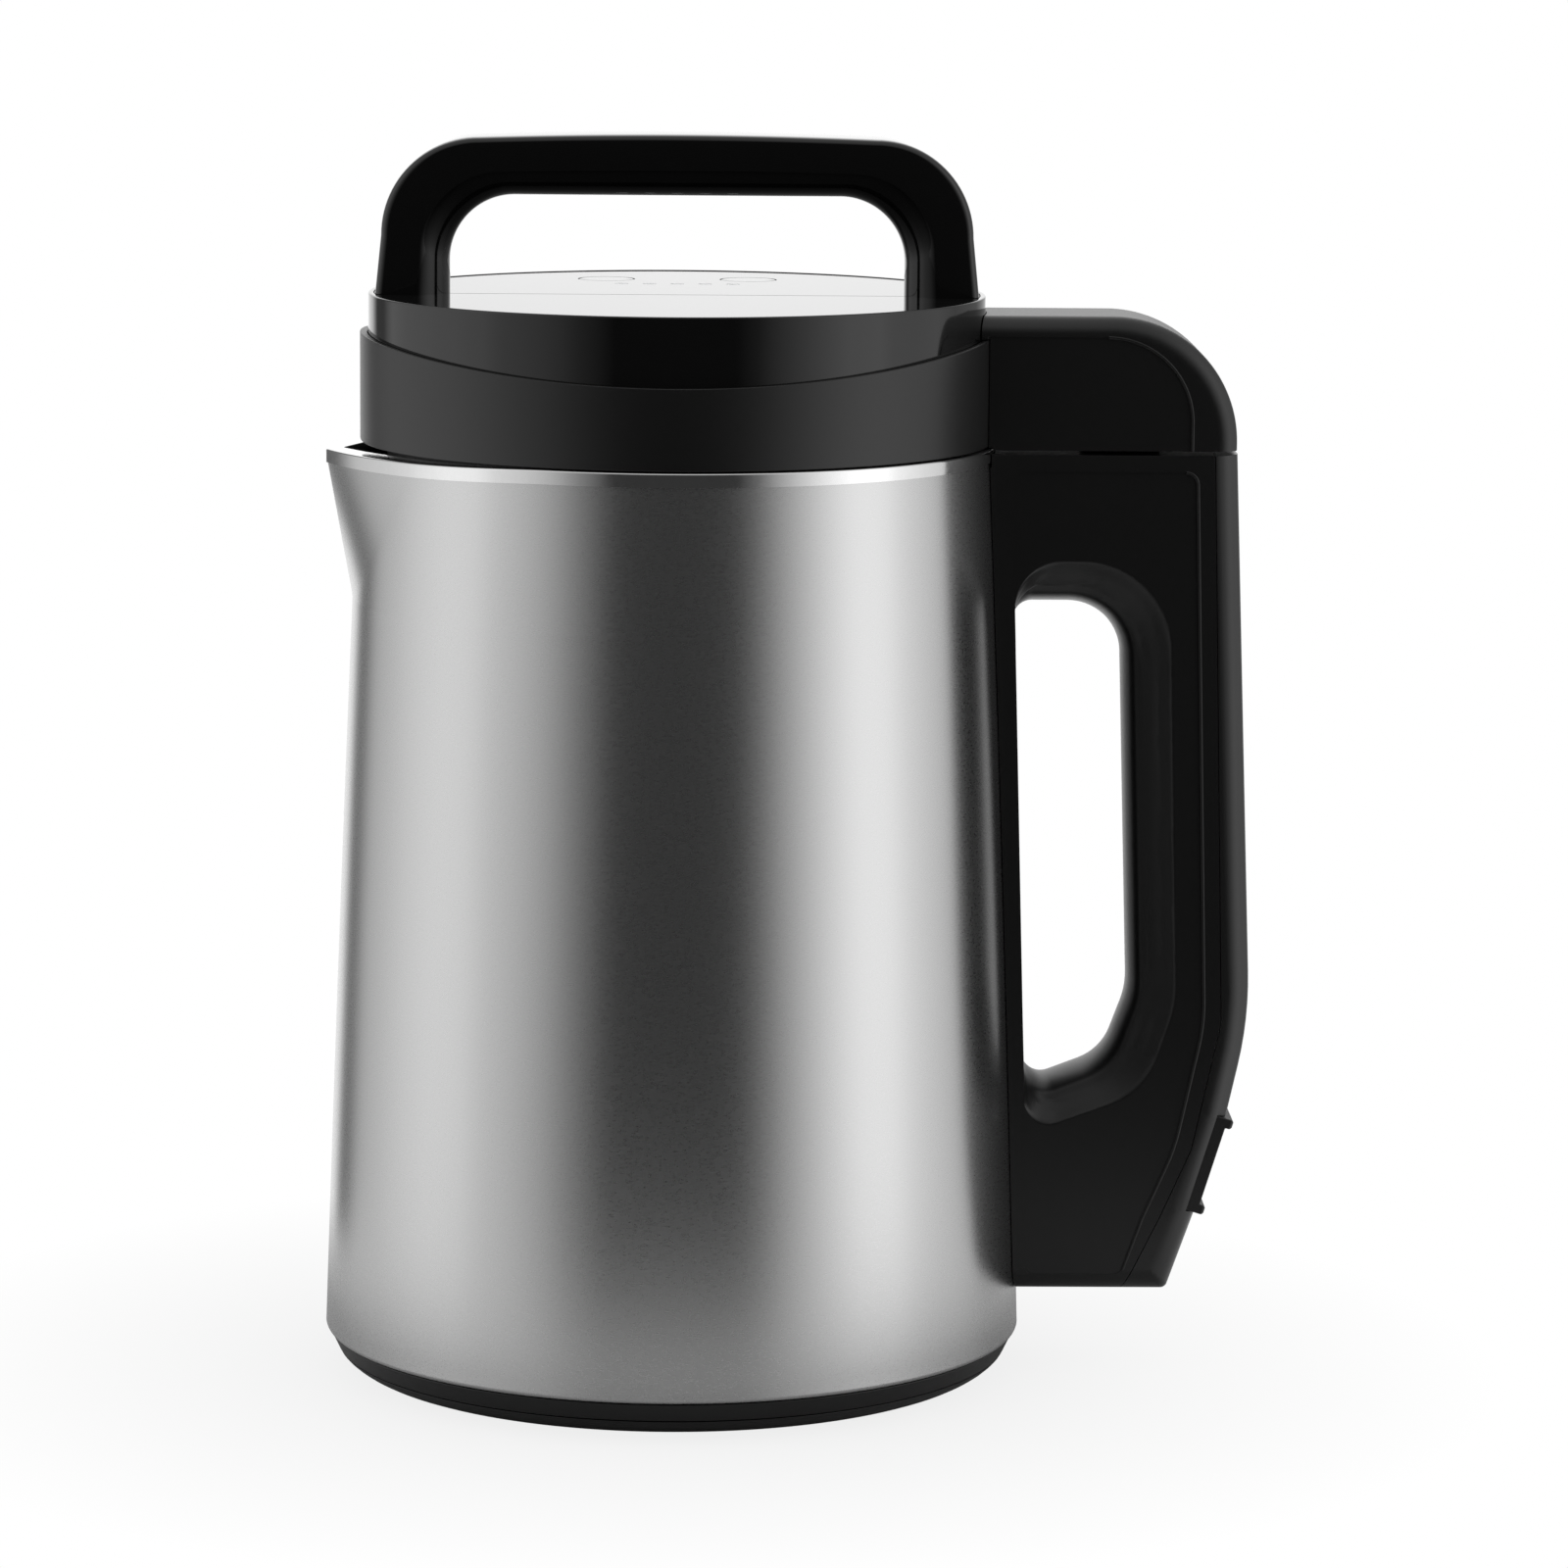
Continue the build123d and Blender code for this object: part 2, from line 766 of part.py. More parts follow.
def heater_bracket():
    """Sheet strap that presses the thermostat and the sensor to the heater plate."""
    strap_top = thermostat_bottom_z
    half = bracket_length / 2
    low = strap_top - bracket_sheet
    body = block(-bracket_width / 2, bracket_width / 2, -half, half, low, strap_top)
    for side in (-1, 1):
        near, far = sorted((side * half, side * (half - bracket_sheet)))
        body += block(-bracket_width / 2, bracket_width / 2, near, far, low, heater_bottom_z)
    hole = disc(sensor_radius + fit_gap, low - overrun, strap_top + overrun)
    return body - Pos(0, sensor_offset, 0) * hole


def handle_face():
    """Outline of the whole handle from the side."""
    corners = [
        (handle_root_x, handle_top_z),
        (handle_top_x, handle_top_z),
        (handle_knee_x, handle_knee_z),
        (handle_slope_top_x, handle_slope_top_z),
        (handle_slope_foot_x, handle_slope_foot_z),
        (handle_toe_x, handle_bottom_z),
        (handle_root_x, handle_bottom_z),
    ]
    radii = [0, 0, handle_knee_radius] + [handle_slope_radius] * 2 + [handle_toe_radius, 0]
    return rounded_face(corners, radii)


def rounded_face(corners, radii):
    """A polygon whose corners are rounded one by one."""
    face = make_face(Polyline(*corners, close=True))
    for corner, radius in zip(corners, radii):
        if radius > 0:
            nearest = face.vertices().sort_by_distance((corner[0], corner[1], 0))[0]
            face = fillet(nearest, radius)
    return face


def spine_line():
    """Seam between the handle body and its spine cover, from the toe to the top."""
    return [
        (spine_toe_x, handle_bottom_z),
        (spine_heel_x, spine_heel_z),
        (spine_slope_x, spine_slope_z),
        (spine_knee_x, spine_knee_z),
        (spine_top_x, handle_top_z),
    ]


def spine_zone(shift):
    """Region outside the seam, moved out by shift."""
    seam = [(x + shift, z) for x, z in spine_line()]
    toe, top = seam[0], seam[-1]
    far_x = handle_knee_x + 10 * overrun
    outline = [(toe[0], toe[1] - overrun)] + seam + [(top[0], top[1] + overrun)]
    outline += [(far_x, top[1] + overrun), (far_x, toe[1] - overrun)]
    return make_face(Polyline(*outline, close=True))


def grip_outline(grow):
    """Outline of the grip opening, grown outwards by up to the scoop's width."""
    corners = [
        (grip_left_top_x, grip_top_z + grow),
        (grip_right_top_x + grow, grip_top_z + grow),
        (grip_right_foot_x + grow, grip_right_foot_z - grow * (1 - scoop_floor_share)),
        (grip_floor_x + grow * scoop_floor_share, grip_floor_z - grow * scoop_diagonal_share),
        (grip_left_foot_x, grip_left_foot_z - grow * scoop_floor_share),
    ]
    radii = [
        grip_corner_radius + grow * scoop_corner_share,
        grip_shoulder_radius + grow * scoop_shoulder_share,
        grip_knee_radius + grow,
        grip_heel_radius + grow * scoop_diagonal_share,
        grip_corner_radius + grow * (1 - scoop_floor_share),
    ]
    return rounded_face(corners, radii)


def scoop():
    """Hollow round the grip opening on one side face: steep at its border, flat at the opening."""
    faces = []
    for index in range(scoop_steps + 1):
        turn = radians(90 * index / scoop_steps)
        depth = handle_half_width - scoop_depth * sin(turn)
        faces.append(Plane.XZ.offset(depth) * grip_outline(scoop_width * cos(turn)))
    return loft(faces) + extrude(faces[0], overrun)


def grip_cutter():
    """The grip opening and its two scoops in one piece."""
    opening = upright(grip_outline(0), handle_half_width - scoop_depth)
    return opening + both_sides(scoop())


def side_panel():
    """Shallow recess in one side face, set in from the seam and the top."""
    corners = [
        (grip_left_top_x - panel_depth, handle_top_z - panel_margin),
        (spine_top_x - panel_margin, handle_top_z - panel_margin),
        (spine_knee_x - panel_margin, spine_knee_z),
        (spine_slope_x - panel_margin, spine_slope_z),
        (spine_heel_x - panel_margin, spine_heel_z),
        (spine_toe_x, channel_floor_z),
        (grip_left_foot_x, channel_floor_z),
    ]
    radii = [panel_corner_radius] * 2 + [handle_slope_radius] * 2 + [panel_corner_radius] * 3
    face = rounded_face(corners, radii)
    return extrude(Plane.XZ.offset(handle_half_width - panel_depth) * face, panel_depth + overrun)


def both_sides(cutter):
    """A cutter on -Y and its mirror image on +Y."""
    return cutter + mirror(cutter, Plane.XZ)


def handle_form():
    """The whole moulded handle before it is split into its body and its spine cover."""
    body = upright(handle_face(), handle_half_width)
    outer_edges = [
        edge
        for edge in along_y_edges(body, handle_half_width - running_gap, handle_half_width + running_gap)
        if edge.center().X > handle_toe_x - handle_toe_radius * 2
    ]
    body = fillet(outer_edges, handle_edge_radius)
    body -= jug_form(-fit_gap, shell_bottom_z, shell_top_z - rim_skirt)
    return body - disc(rim_radius + fit_gap, shell_top_z - rim_skirt - fit_gap, handle_top_z + overrun)


def handle_hollow():
    """Space inside the handle body for the wires, the coupler socket and the inlet."""
    top_z = handle_top_z - channel_roof
    inner_x = grip_right_foot_x + channel_wall
    outline = [
        (channel_root_x, channel_floor_z),
        (handle_knee_x, channel_floor_z),
        (handle_knee_x, top_z),
        (socket_root_x, top_z),
        (socket_root_x, grip_top_z + channel_wall),
        (inner_x, grip_top_z + channel_wall),
        (inner_x, grip_right_foot_z),
        (grip_floor_x + channel_wall, grip_floor_z - channel_wall),
        (channel_root_x, grip_left_foot_z - 2 * channel_wall),
    ]
    return upright(make_face(Polyline(*outline, close=True)), channel_half_width)


def bracket_places():
    """Lower edges of the two brackets that hold the handle."""
    return (lower_bracket_z, upper_bracket_z)


def hollow_root_x(z):
    """Where the handle's hollow starts at a height: over the grip it follows the coupler."""
    return socket_root_x if z > grip_top_z else channel_root_x


def bracket_solid(low, grow):
    """Block between the shell and the handle's hollow, grown for its pocket."""
    half = bracket_half_width + grow
    far_x = hollow_root_x(low) - bracket_cover + grow
    body = block(handle_root_x, far_x, -half, half, low - grow, low + bracket_height + grow)
    return body - jug_form(-running_gap, shell_bottom_z, shell_top_z)


def fixing_places(low):
    """Heights of the two screws in one bracket."""
    middle = low + bracket_height / 2
    return (middle - fixing_pitch / 2, middle + fixing_pitch / 2)


def handle_brackets():
    """Two steel blocks welded to the shell, tapped for the handle's screws."""
    blocks = []
    for low in bracket_places():
        body = bracket_solid(low, 0)
        for z in fixing_places(low):
            body -= lying_rod(screw_radius + running_gap, handle_root_x, hollow_root_x(z), z)
        blocks.append(body)
    return Compound(blocks)


def lying_rod(radius, x_low, x_high, z):
    """A round bar along X in the middle plane."""
    bar = Rot(0, 90, 0) * Cylinder(radius, x_high - x_low)
    return Pos((x_low + x_high) / 2, 0, z) * bar


def handle_fixings():
    """Screws from the handle's hollow into the brackets."""
    screws = []
    for low in bracket_places():
        for z in fixing_places(low):
            root_x = hollow_root_x(z)
            shank = lying_rod(screw_radius, shell_radius(z) + seat_gap, root_x, z)
            head = lying_rod(screw_head_radius, root_x, root_x + screw_head_height, z)
            screws.append(shank + head)
    return Compound(screws)


def handle_body():
    """Inner moulding of the handle: grip, scoops, side panels and the hollow for the wires."""
    body = handle_form()
    body -= upright(spine_zone(-spine_seam / 2), handle_half_width + overrun)
    body -= both_sides(side_panel())
    body -= grip_cutter()
    body -= handle_hollow()
    body -= inlet_pocket()
    body -= block(
        coupler_x - socket_half_length - fit_gap,
        coupler_x + socket_half_length + fit_gap,
        -socket_half_width - fit_gap,
        socket_half_width + fit_gap,
        handle_top_z - channel_roof - overrun,
        handle_top_z + overrun,
    )
    for low in bracket_places():
        body -= bracket_solid(low, fit_gap)
        for z in fixing_places(low):
            body -= lying_rod(screw_radius + fit_gap, handle_root_x, hollow_root_x(z) + overrun, z)
    body -= lying_rod(wire_hole_radius, handle_root_x, channel_root_x + overrun, wire_entry_z)
    return body


def handle_cover():
    """Spine cover: a hollow strip along the handle's outer edge with a window for the inlet."""
    body = handle_form() & upright(spine_zone(spine_seam / 2), handle_half_width + overrun)
    body -= upright(offset(handle_face(), -spine_wall), handle_half_width - spine_side_wall)
    return body - inlet_pocket()


def inlet_plane():
    """Frame of the inlet: its origin in the middle of the slanted face, its Z pointing out."""
    x = (handle_slope_top_x + handle_slope_foot_x) / 2
    z = (handle_slope_top_z + handle_slope_foot_z) / 2
    return Plane(origin=(x, 0, z), x_dir=(0, 1, 0), z_dir=(cos(inlet_slope), 0, -sin(inlet_slope)))


def inlet_pocket():
    """Space for the inlet in the spine cover and the handle body."""
    front_depth = 2 * (inlet_front_depth + fit_gap)
    back_depth = 2 * (inlet_body_depth + fit_gap)
    front = Box(inlet_width + 2 * fit_gap, inlet_height + 2 * fit_gap, front_depth)
    back = Box(inlet_body_width + 2 * fit_gap, inlet_body_height + 2 * fit_gap, back_depth)
    return inlet_plane() * (front + back)


def inlet_outline(width, height, corner):
    """Inlet outline: a rectangle with its two lower corners cut off."""
    x, y = width / 2, height / 2
    return make_face(
        Polyline(
            (-x, y),
            (x, y),
            (x, corner - y),
            (x - corner, -y),
            (corner - x, -y),
            (-x, corner - y),
            close=True,
        )
    )


def mains_inlet():
    """Appliance inlet: a front block with two raised lips round a deep recess."""
    front = Pos(0, 0, -inlet_front_depth) * Rectangle(inlet_width, inlet_height)
    body = extrude(front, inlet_front_depth + inlet_face_proud)
    for side in (-1, 1):
        lip_y = side * (inlet_height - inlet_lip_height) / 2
        lip = extrude(Pos(0, lip_y) * Rectangle(inlet_width, inlet_lip_height), inlet_lip_proud)
        body += fillet(lip.edges().group_by(Axis.Z)[-1], inlet_lip_height / 3)
    back = Rectangle(inlet_body_width, inlet_body_height)
    body += extrude(back, -inlet_body_depth)
    recess = inlet_outline(inlet_recess_width, inlet_recess_height, inlet_corner)
    body -= extrude(Pos(0, 0, -inlet_recess_depth) * recess, inlet_recess_depth + inlet_lip_proud + overrun)
    for x, y in inlet_pin_places():
        hole = Rectangle(inlet_pin_width + 2 * running_gap, inlet_pin_height + 2 * running_gap)
        body -= extrude(Pos(x, y, -inlet_body_depth - overrun) * hole, inlet_body_depth)
    return inlet_plane() * body


def inlet_pin_places():
    """The two current pins and the earth pin between them."""
    return [
        (-inlet_pin_pitch, -inlet_earth_offset),
        (0, inlet_earth_offset),
        (inlet_pin_pitch, -inlet_earth_offset),
    ]


def inlet_pins():
    """Three flat pins through the back of the inlet."""
    pin = extrude(Rectangle(inlet_pin_width, inlet_pin_height), inlet_pin_length)
    low = -inlet_recess_depth - (inlet_pin_length - inlet_recess_depth) + overrun
    return Compound([inlet_plane() * Pos(x, y, low) * pin for x, y in inlet_pin_places()])


def pin_places():
    """The coupler's pins in a row along X."""
    start = coupler_x - pin_pitch * (pin_count - 1) / 2
    return [Pos(start + pin_pitch * index, 0, 0) for index in range(pin_count)]


def connector_socket():
    """Coupler socket in the handle's top: a recess for the plug and a deep hole for each pin."""
    length, width = socket_half_length, socket_half_width
    flange_top = handle_top_z - channel_roof - fit_gap
    body = block(
        coupler_x - length, coupler_x + length, -width, width, socket_bottom_z, socket_top_z
    )
    body += block(
        coupler_x - length - socket_flange,
        coupler_x + length + socket_flange,
        -width - socket_flange / 2,
        width + socket_flange / 2,
        flange_top - socket_flange_height,
        flange_top,
    )
    body -= block(
        coupler_x - plug_half_length - slip_gap,
        coupler_x + plug_half_length + slip_gap,
        -plug_half_width - slip_gap,
        plug_half_width + slip_gap,
        plug_bottom_z - socket_floor_drop,
        socket_top_z + overrun,
    )
    hole_radius = pin_radius + slip_gap + contact_wall + running_gap
    for place in pin_places():
        body -= place * disc(hole_radius, socket_bottom_z - overrun, plug_bottom_z)
    return body


def socket_contacts():
    """A spring sleeve for each pin."""
    inner = pin_radius + slip_gap
    top = plug_bottom_z - socket_floor_drop
    sleeve = tube(inner + contact_wall, inner, top - contact_height, top)
    return Compound([place * sleeve for place in pin_places()])


def bent_wire(points, radius):
    """A round wire along straight runs joined by tangent arcs."""
    bends = [radius * 2.5] * (len(points) - 2)
    path = FilletPolyline(*points, radius=bends)
    section = Plane(origin=points[0], z_dir=path % 0) * Circle(radius)
    return sweep(section, path=path)


def jug_wiring():
    """Wires in the handle: up the grip to the socket, and through the shell to the heater."""
    back = inlet_plane() * Pos(0, 0, -inlet_body_depth - 2 * overrun)
    start_x, start_z = back.position.X, back.position.Z
    channel_x = grip_right_foot_x + channel_wall + 2 * wire_radius
    bend_z = socket_bottom_z - 3 * wire_radius
    up = bent_wire(
        [
            (start_x, wire_radius * 2, start_z + wire_radius),
            (start_x + wire_radius, wire_radius * 2, grip_left_foot_z),
            (channel_x, wire_radius * 2, grip_right_foot_z),
            (channel_x, wire_radius * 2, bend_z),
            (coupler_x, wire_radius * 2, bend_z),
            (coupler_x, wire_radius * 2, socket_bottom_z - fit_gap),
        ],
        wire_radius,
    )
    down = bent_wire(
        [
            (start_x - wire_radius, -wire_radius * 2, start_z - wire_radius),
            (channel_root_x + channel_wall, 0, wire_entry_z),
            (wire_end_x + 4 * channel_wall, 0, wire_entry_z),
            (wire_end_x, 0, wire_entry_z - wire_radius),
        ],
        wire_radius,
    )
    return Compound([up, down])


def wave_cutter(gap):
    """Everything above the collar's wavy top edge, lowered or raised by gap."""
    centre_z = wave_low_z + wave_radius
    barrel = Rot(90, 0, 0) * Cylinder(wave_radius, 4 * collar_radius)
    return Pos(0, 0, centre_z + gap) * barrel


def lid_collar():
    """Matt collar with its wavy top edge, an inner ledge and posts for the control board."""
    wall_top_z = wave_low_z + collar_radius**2 / wave_radius
    body = disc(collar_radius, collar_bottom_z, wall_top_z)
    body -= disc(collar_inner_radius, collar_bottom_z - overrun, ledge_bottom_z)
    body -= disc(ledge_hole_radius, collar_bottom_z, wall_top_z + overrun)
    body -= disc(collar_bore_radius, ledge_top_z, wall_top_z + overrun)
    body -= wave_cutter(0)
    for place in post_places():
        body += place * disc(post_radius, ledge_top_z, board_bottom_z)
    body -= tongue_window()
    for place in ring_places(cup_screw_count, cup_boss_circle, 180 / cup_screw_count):
        body -= place * disc(screw_radius + fit_gap, ledge_bottom_z - overrun, ledge_top_z + overrun)
    for place in arm_screw_places():
        body -= place * disc(screw_radius + running_gap, ledge_bottom_z - overrun, ledge_top_z + overrun)
    return body


def post_places():
    """Four posts under the corners of the control board."""
    x = board_half_length - post_margin
    return [
        Pos(side * x, y, 0)
        for side in (-1, 1)
        for y in (board_near_y + post_margin, board_far_y - post_margin)
    ]


def arm_screw_places():
    """Two screws that hold the arm's tongue to the ledge."""
    x = collar_inner_radius - tongue_reach / 2
    return [Pos(x, side * arm_screw_offset, 0) for side in (-1, 1)]


def tongue_window():
    """Window in the collar and the ring for the arm's tongue and the wires."""
    half = arm_half_width - arm_wall + fit_gap
    return block(
        collar_inner_radius - ring_wall - overrun,
        collar_radius + overrun,
        -half,
        half,
        ledge_top_z,
        ledge_top_z + tongue_window_height,
    )


def lid_ring():
    """Gloss ring above the collar, with a ledge for the plates and a lug under each handle foot."""
    ledge_radius = ring_inner_radius - ring_ledge_width
    body = tube(ring_radius, ring_inner_radius, ring_bottom_z, ring_top_z)
    body = fillet(body.edges().group_by(Axis.Z)[-1].sort_by(SortBy.RADIUS)[-1], ring_edge_radius)
    ledge_low = plate_bottom_z - ring_ledge_height
    body += tube(ring_radius - ring_edge_radius, ledge_radius, ledge_low, plate_bottom_z)
    body -= disc(ring_radius - ring_lip, plate_bottom_z, ring_top_z + overrun)
    for side in (-1, 1):
        near, far = sorted((side * lug_root_x, side * ring_radius))
        lug = block(near, far, -lug_half_width, lug_half_width, lug_bottom_z, plate_bottom_z)
        body += lug & disc(ring_inner_radius + ring_edge_radius, lug_bottom_z, plate_bottom_z)
    for place in bow_screw_places():
        body -= place * disc(screw_radius + fit_gap, lug_bottom_z - overrun, plate_bottom_z + overrun)
    return body - tongue_window()


def half_plane(y_low, y_high):
    """A wide slab between two distances in Y, to cut the plates apart."""
    return block(-ring_radius, ring_radius, y_low, y_high, plate_bottom_z - overrun, plate_top_z + overrun)


def tenon(side, grow):
    """Tenon under one foot of the lid handle, grown for its hole in the plates."""
    inner, outer = bow_inner_x + tenon_inset, bow_foot_x - tenon_inset
    near, far = sorted((side * (inner - grow), side * (outer + grow)))
    half = tenon_half_width + grow
    return block(near, far, -half, half, plate_bottom_z + fit_gap - 4 * grow, plate_top_z + 4 * grow)


def plates():
    """The disc on top of the lid before it is split into two plates."""
    body = disc(plate_radius, plate_bottom_z, plate_top_z)
    return body - tenon(-1, fit_gap) - tenon(1, fit_gap)


def top_plate():
    """Polished front part of the lid's top."""
    return plates() & half_plane(-ring_radius, plate_split_y - plate_split_gap / 2)


def button_places():
    """The two push buttons on the control panel."""
    return [Pos(side * button_x, button_y, 0) for side in (-1, 1)]


def lens_places():
    """Row of indicator lenses in front of the buttons."""
    start = -lens_pitch * (lens_count - 1) / 2
    return [Pos(start + lens_pitch * index, lens_y, 0) for index in range(lens_count)]


def control_panel():
    """Rear part of the lid's top with holes for the buttons and the lenses."""
    body = plates() & half_plane(plate_split_y + plate_split_gap / 2, ring_radius)
    for place in button_places():
        body -= place * disc(button_radius + button_gap, plate_bottom_z - overrun, plate_top_z + overrun)
    for place in lens_places():
        body -= place * disc(lens_radius + running_gap, plate_bottom_z - overrun, plate_top_z + overrun)
    return body


def indicator_lenses():
    """Clear light pipes, flush with the panel."""
    lens = disc(lens_radius, plate_top_z - lens_length, plate_top_z)
    return Compound([place * lens for place in lens_places()])


def push_button():
    """Button cap with the flange that holds it under the panel and the stem to its switch."""
    flange_top = plate_bottom_z - running_gap * 2
    stem_bottom = board_top_z + switch_height + button_travel + fit_gap
    flange_bottom = flange_top - button_flange_height
    body = disc(button_radius, flange_top, plate_top_z)
    body = chamfer(body.edges().group_by(Axis.Z)[-1], button_gap)
    body += disc(button_radius + button_flange, flange_bottom, flange_top)
    return body + disc(button_stem_radius, stem_bottom, flange_bottom)


def bow_face():
    """Lid handle from the side: two legs and a slightly crowned bar."""
    corner_z = bow_shoulder_z
    crown = ThreePointArc((bow_shoulder_x, corner_z), (0, bow_top_z), (-bow_shoulder_x, corner_z))
    legs = Polyline(
        (-bow_shoulder_x, corner_z),
        (-bow_foot_x, plate_top_z),
        (bow_foot_x, plate_top_z),
        (bow_shoulder_x, corner_z),
    )
    face = make_face([crown] + legs.edges())
    top_corners = face.vertices().group_by(Axis.Y)[-1]
    face = fillet(top_corners, bow_corner_radius)
    gap_height = bow_inner_top_z - plate_top_z + 2 * bow_inner_radius
    gap_middle = bow_inner_top_z - gap_height / 2
    return face - Pos(0, gap_middle) * RectangleRounded(2 * bow_inner_x, gap_height, bow_inner_radius)


def bow_screw_places():
    """Two screws into each foot of the lid handle."""
    x = (bow_inner_x + bow_foot_x) / 2
    return [Pos(side * x, turn * bow_screw_offset, 0) for side in (-1, 1) for turn in (-1, 1)]


def lid_handle():
    """Gloss handle with rounded inner edges and a tenon under each foot."""
    body = upright(bow_face(), bow_half_width)
    rims = along_y_edges(body, bow_half_width - running_gap, bow_half_width + running_gap)
    above = [edge for edge in rims if edge.center().Z > plate_top_z + running_gap]
    inner = [edge for edge in above if is_inner_bow_edge(edge)]
    outer = [edge for edge in above if not is_inner_bow_edge(edge)]
    body = fillet(inner, bow_inner_round)
    outer = match_edges(body, outer)
    body = fillet(outer, bow_outer_round)
    body -= tube(ring_radius + overrun, plate_radius, plate_top_z, ring_top_z + fit_gap)
    for side in (-1, 1):
        body += tenon(side, 0)
    for place in bow_screw_places():
        end_z = lug_bottom_z + bow_screw_length + overrun
        body -= place * disc(screw_radius + running_gap, plate_bottom_z, end_z)
    return body


def is_inner_bow_edge(edge):
    """Whether an edge borders the finger gap rather than the outside of the handle."""
    middle = edge @ 0.5
    in_gap_x = abs(middle.X) < bow_inner_x + running_gap
    return in_gap_x and middle.Z < bow_inner_top_z + running_gap


def match_edges(shape, wanted):
    """Edges of a shape that lie where the wanted edges lay before a change."""
    middles = [edge @ 0.5 for edge in wanted]
    return [
        edge
        for edge in shape.edges()
        if any((edge @ 0.5 - middle).length < running_gap for middle in middles)
    ]


def lid_handle_screws():
    """Four screws from below the lugs into the handle's feet."""
    screw = Pos(0, 0, lug_bottom_z) * pan_screw(bow_screw_length, screw_head_radius, screw_head_height)
    return Compound([place * screw for place in bow_screw_places()])


def arm_face(inset):
    """Lid arm from the side, moved in by inset at its top and outer end."""
    corners = [
        (ring_inner_radius, arm_bottom_z),
        (arm_end_x - inset, arm_bottom_z),
        (arm_end_x - inset, arm_top_z - inset),
        (ring_inner_radius, arm_top_z - inset),
    ]
    return rounded_face(corners, [0, 0, arm_corner_radius - inset, 0])


def collar_clearance():
    """Space that the arm leaves for the collar, the ring and the rim."""
    lower = disc(collar_radius + fit_gap, arm_bottom_z - overrun, arm_top_z) - wave_cutter(fit_gap)
    rim_space = disc(rim_radius + slip_gap, arm_bottom_z - overrun, rim_top_z + seat_gap)
    return lower + disc(ring_radius + fit_gap, arm_bottom_z - overrun, ring_top_z) + rim_space


def arm_panel():
    """Shallow recess in one side face of the arm."""
    inset = arm_panel_inset
    corners = [
        (collar_radius - overrun, arm_bottom_z - overrun),
        (arm_end_x - inset, arm_bottom_z - overrun),
        (arm_end_x - inset, arm_top_z - arm_panel_drop),
        (collar_radius - overrun, arm_top_z - arm_panel_drop),
    ]
    face = rounded_face(corners, [0, 0, arm_panel_radius, 0])
    return extrude(Plane.XZ.offset(arm_half_width - panel_depth) * face, panel_depth + overrun)


def lid_arm():
    """Hollow arm that carries the coupler plug over the jug handle, with its fixing tongue."""
    body = upright(arm_face(0), arm_half_width)
    outer_edges = [
        edge
        for edge in along_y_edges(body, arm_half_width - running_gap, arm_half_width + running_gap)
        if edge.center().Z > arm_bottom_z + running_gap
        and edge.center().X > ring_inner_radius + running_gap
    ]
    body = fillet(outer_edges, arm_edge_radius)
    body -= both_sides(arm_panel())
    body -= upright(arm_face(arm_wall), arm_half_width - arm_wall)
    body -= collar_clearance()
    half = arm_half_width - arm_wall
    tongue = block(
        collar_inner_radius - tongue_reach,
        collar_radius + arm_wall,
        -half + fit_gap * 2,
        half - fit_gap * 2,
        ring_bottom_z,
        ring_bottom_z + tongue_thickness,
    )
    shelf = block(
        collar_radius + fit_gap,
        collar_radius + 2 * arm_wall,
        -half,
        half,
        ring_bottom_z,
        ring_bottom_z + tongue_thickness,
    )
    body += tongue + shelf
    for place in arm_screw_places():
        body -= place * disc(screw_radius + fit_gap, ring_bottom_z - overrun, ring_bottom_z + overrun * 2)
    return body


def hanging_screws(places, seat_z, length):
    """Pan head screws that point down, with their heads on seat_z."""
    screw = Pos(0, 0, seat_z) * Rot(180, 0, 0) * pan_screw(length, screw_head_radius, screw_head_height)
    return Compound([place * screw for place in places])


def arm_screws():
    """Two screws through the tongue into the ledge."""
    length = ledge_thickness + tongue_thickness
    return hanging_screws(arm_screw_places(), ring_bottom_z + tongue_thickness, length)


def lid_screws():
    """Screws through the ledge into the cup's bosses."""
    places = ring_places(cup_screw_count, cup_boss_circle, 180 / cup_screw_count)
    return hanging_screws(places, ledge_top_z, screw_length)


def arm_base():
    """Plate that closes the arm from below and holds the coupler plug."""
    near_x = collar_radius + 2 * fit_gap
    half = arm_half_width - arm_wall - fit_gap
    body = block(near_x, arm_end_x - arm_wall - fit_gap, -half, half, arm_bottom_z, arm_base_top_z)
    body -= disc(rim_radius + slip_gap, arm_bottom_z - overrun, rim_top_z + seat_gap)
    body -= disc(collar_radius + fit_gap, arm_bottom_z - overrun, arm_base_top_z + overrun)
    return body - block(
        coupler_x - plug_half_length - fit_gap,
        coupler_x + plug_half_length + fit_gap,
        -plug_half_width - fit_gap,
        plug_half_width + fit_gap,
        arm_bottom_z - overrun,
        arm_base_top_z + overrun,
    )


def plug_block():
    """Coupler plug with the flange that rests on the arm's base."""
    length, width = plug_half_length, plug_half_width
    flange_low = arm_base_top_z + fit_gap
    body = block(coupler_x - length, coupler_x + length, -width, width, plug_bottom_z, flange_low)
    body += block(
        coupler_x - length - socket_flange,
        coupler_x + length + socket_flange,
        -width - socket_flange,
        width + socket_flange,
        flange_low,
        flange_low + socket_flange_height,
    )
    for place in pin_places():
        end_z = arm_base_top_z + 4 * overrun
        body -= place * disc(pin_radius + running_gap, plug_bottom_z - overrun, end_z)
    return body


def plug_pins():
    """Four round pins that enter the socket's sleeves."""
    pin = disc(pin_radius, plug_bottom_z - pin_length, arm_base_top_z + 2 * overrun)
    return Compound([place * pin for place in pin_places()])


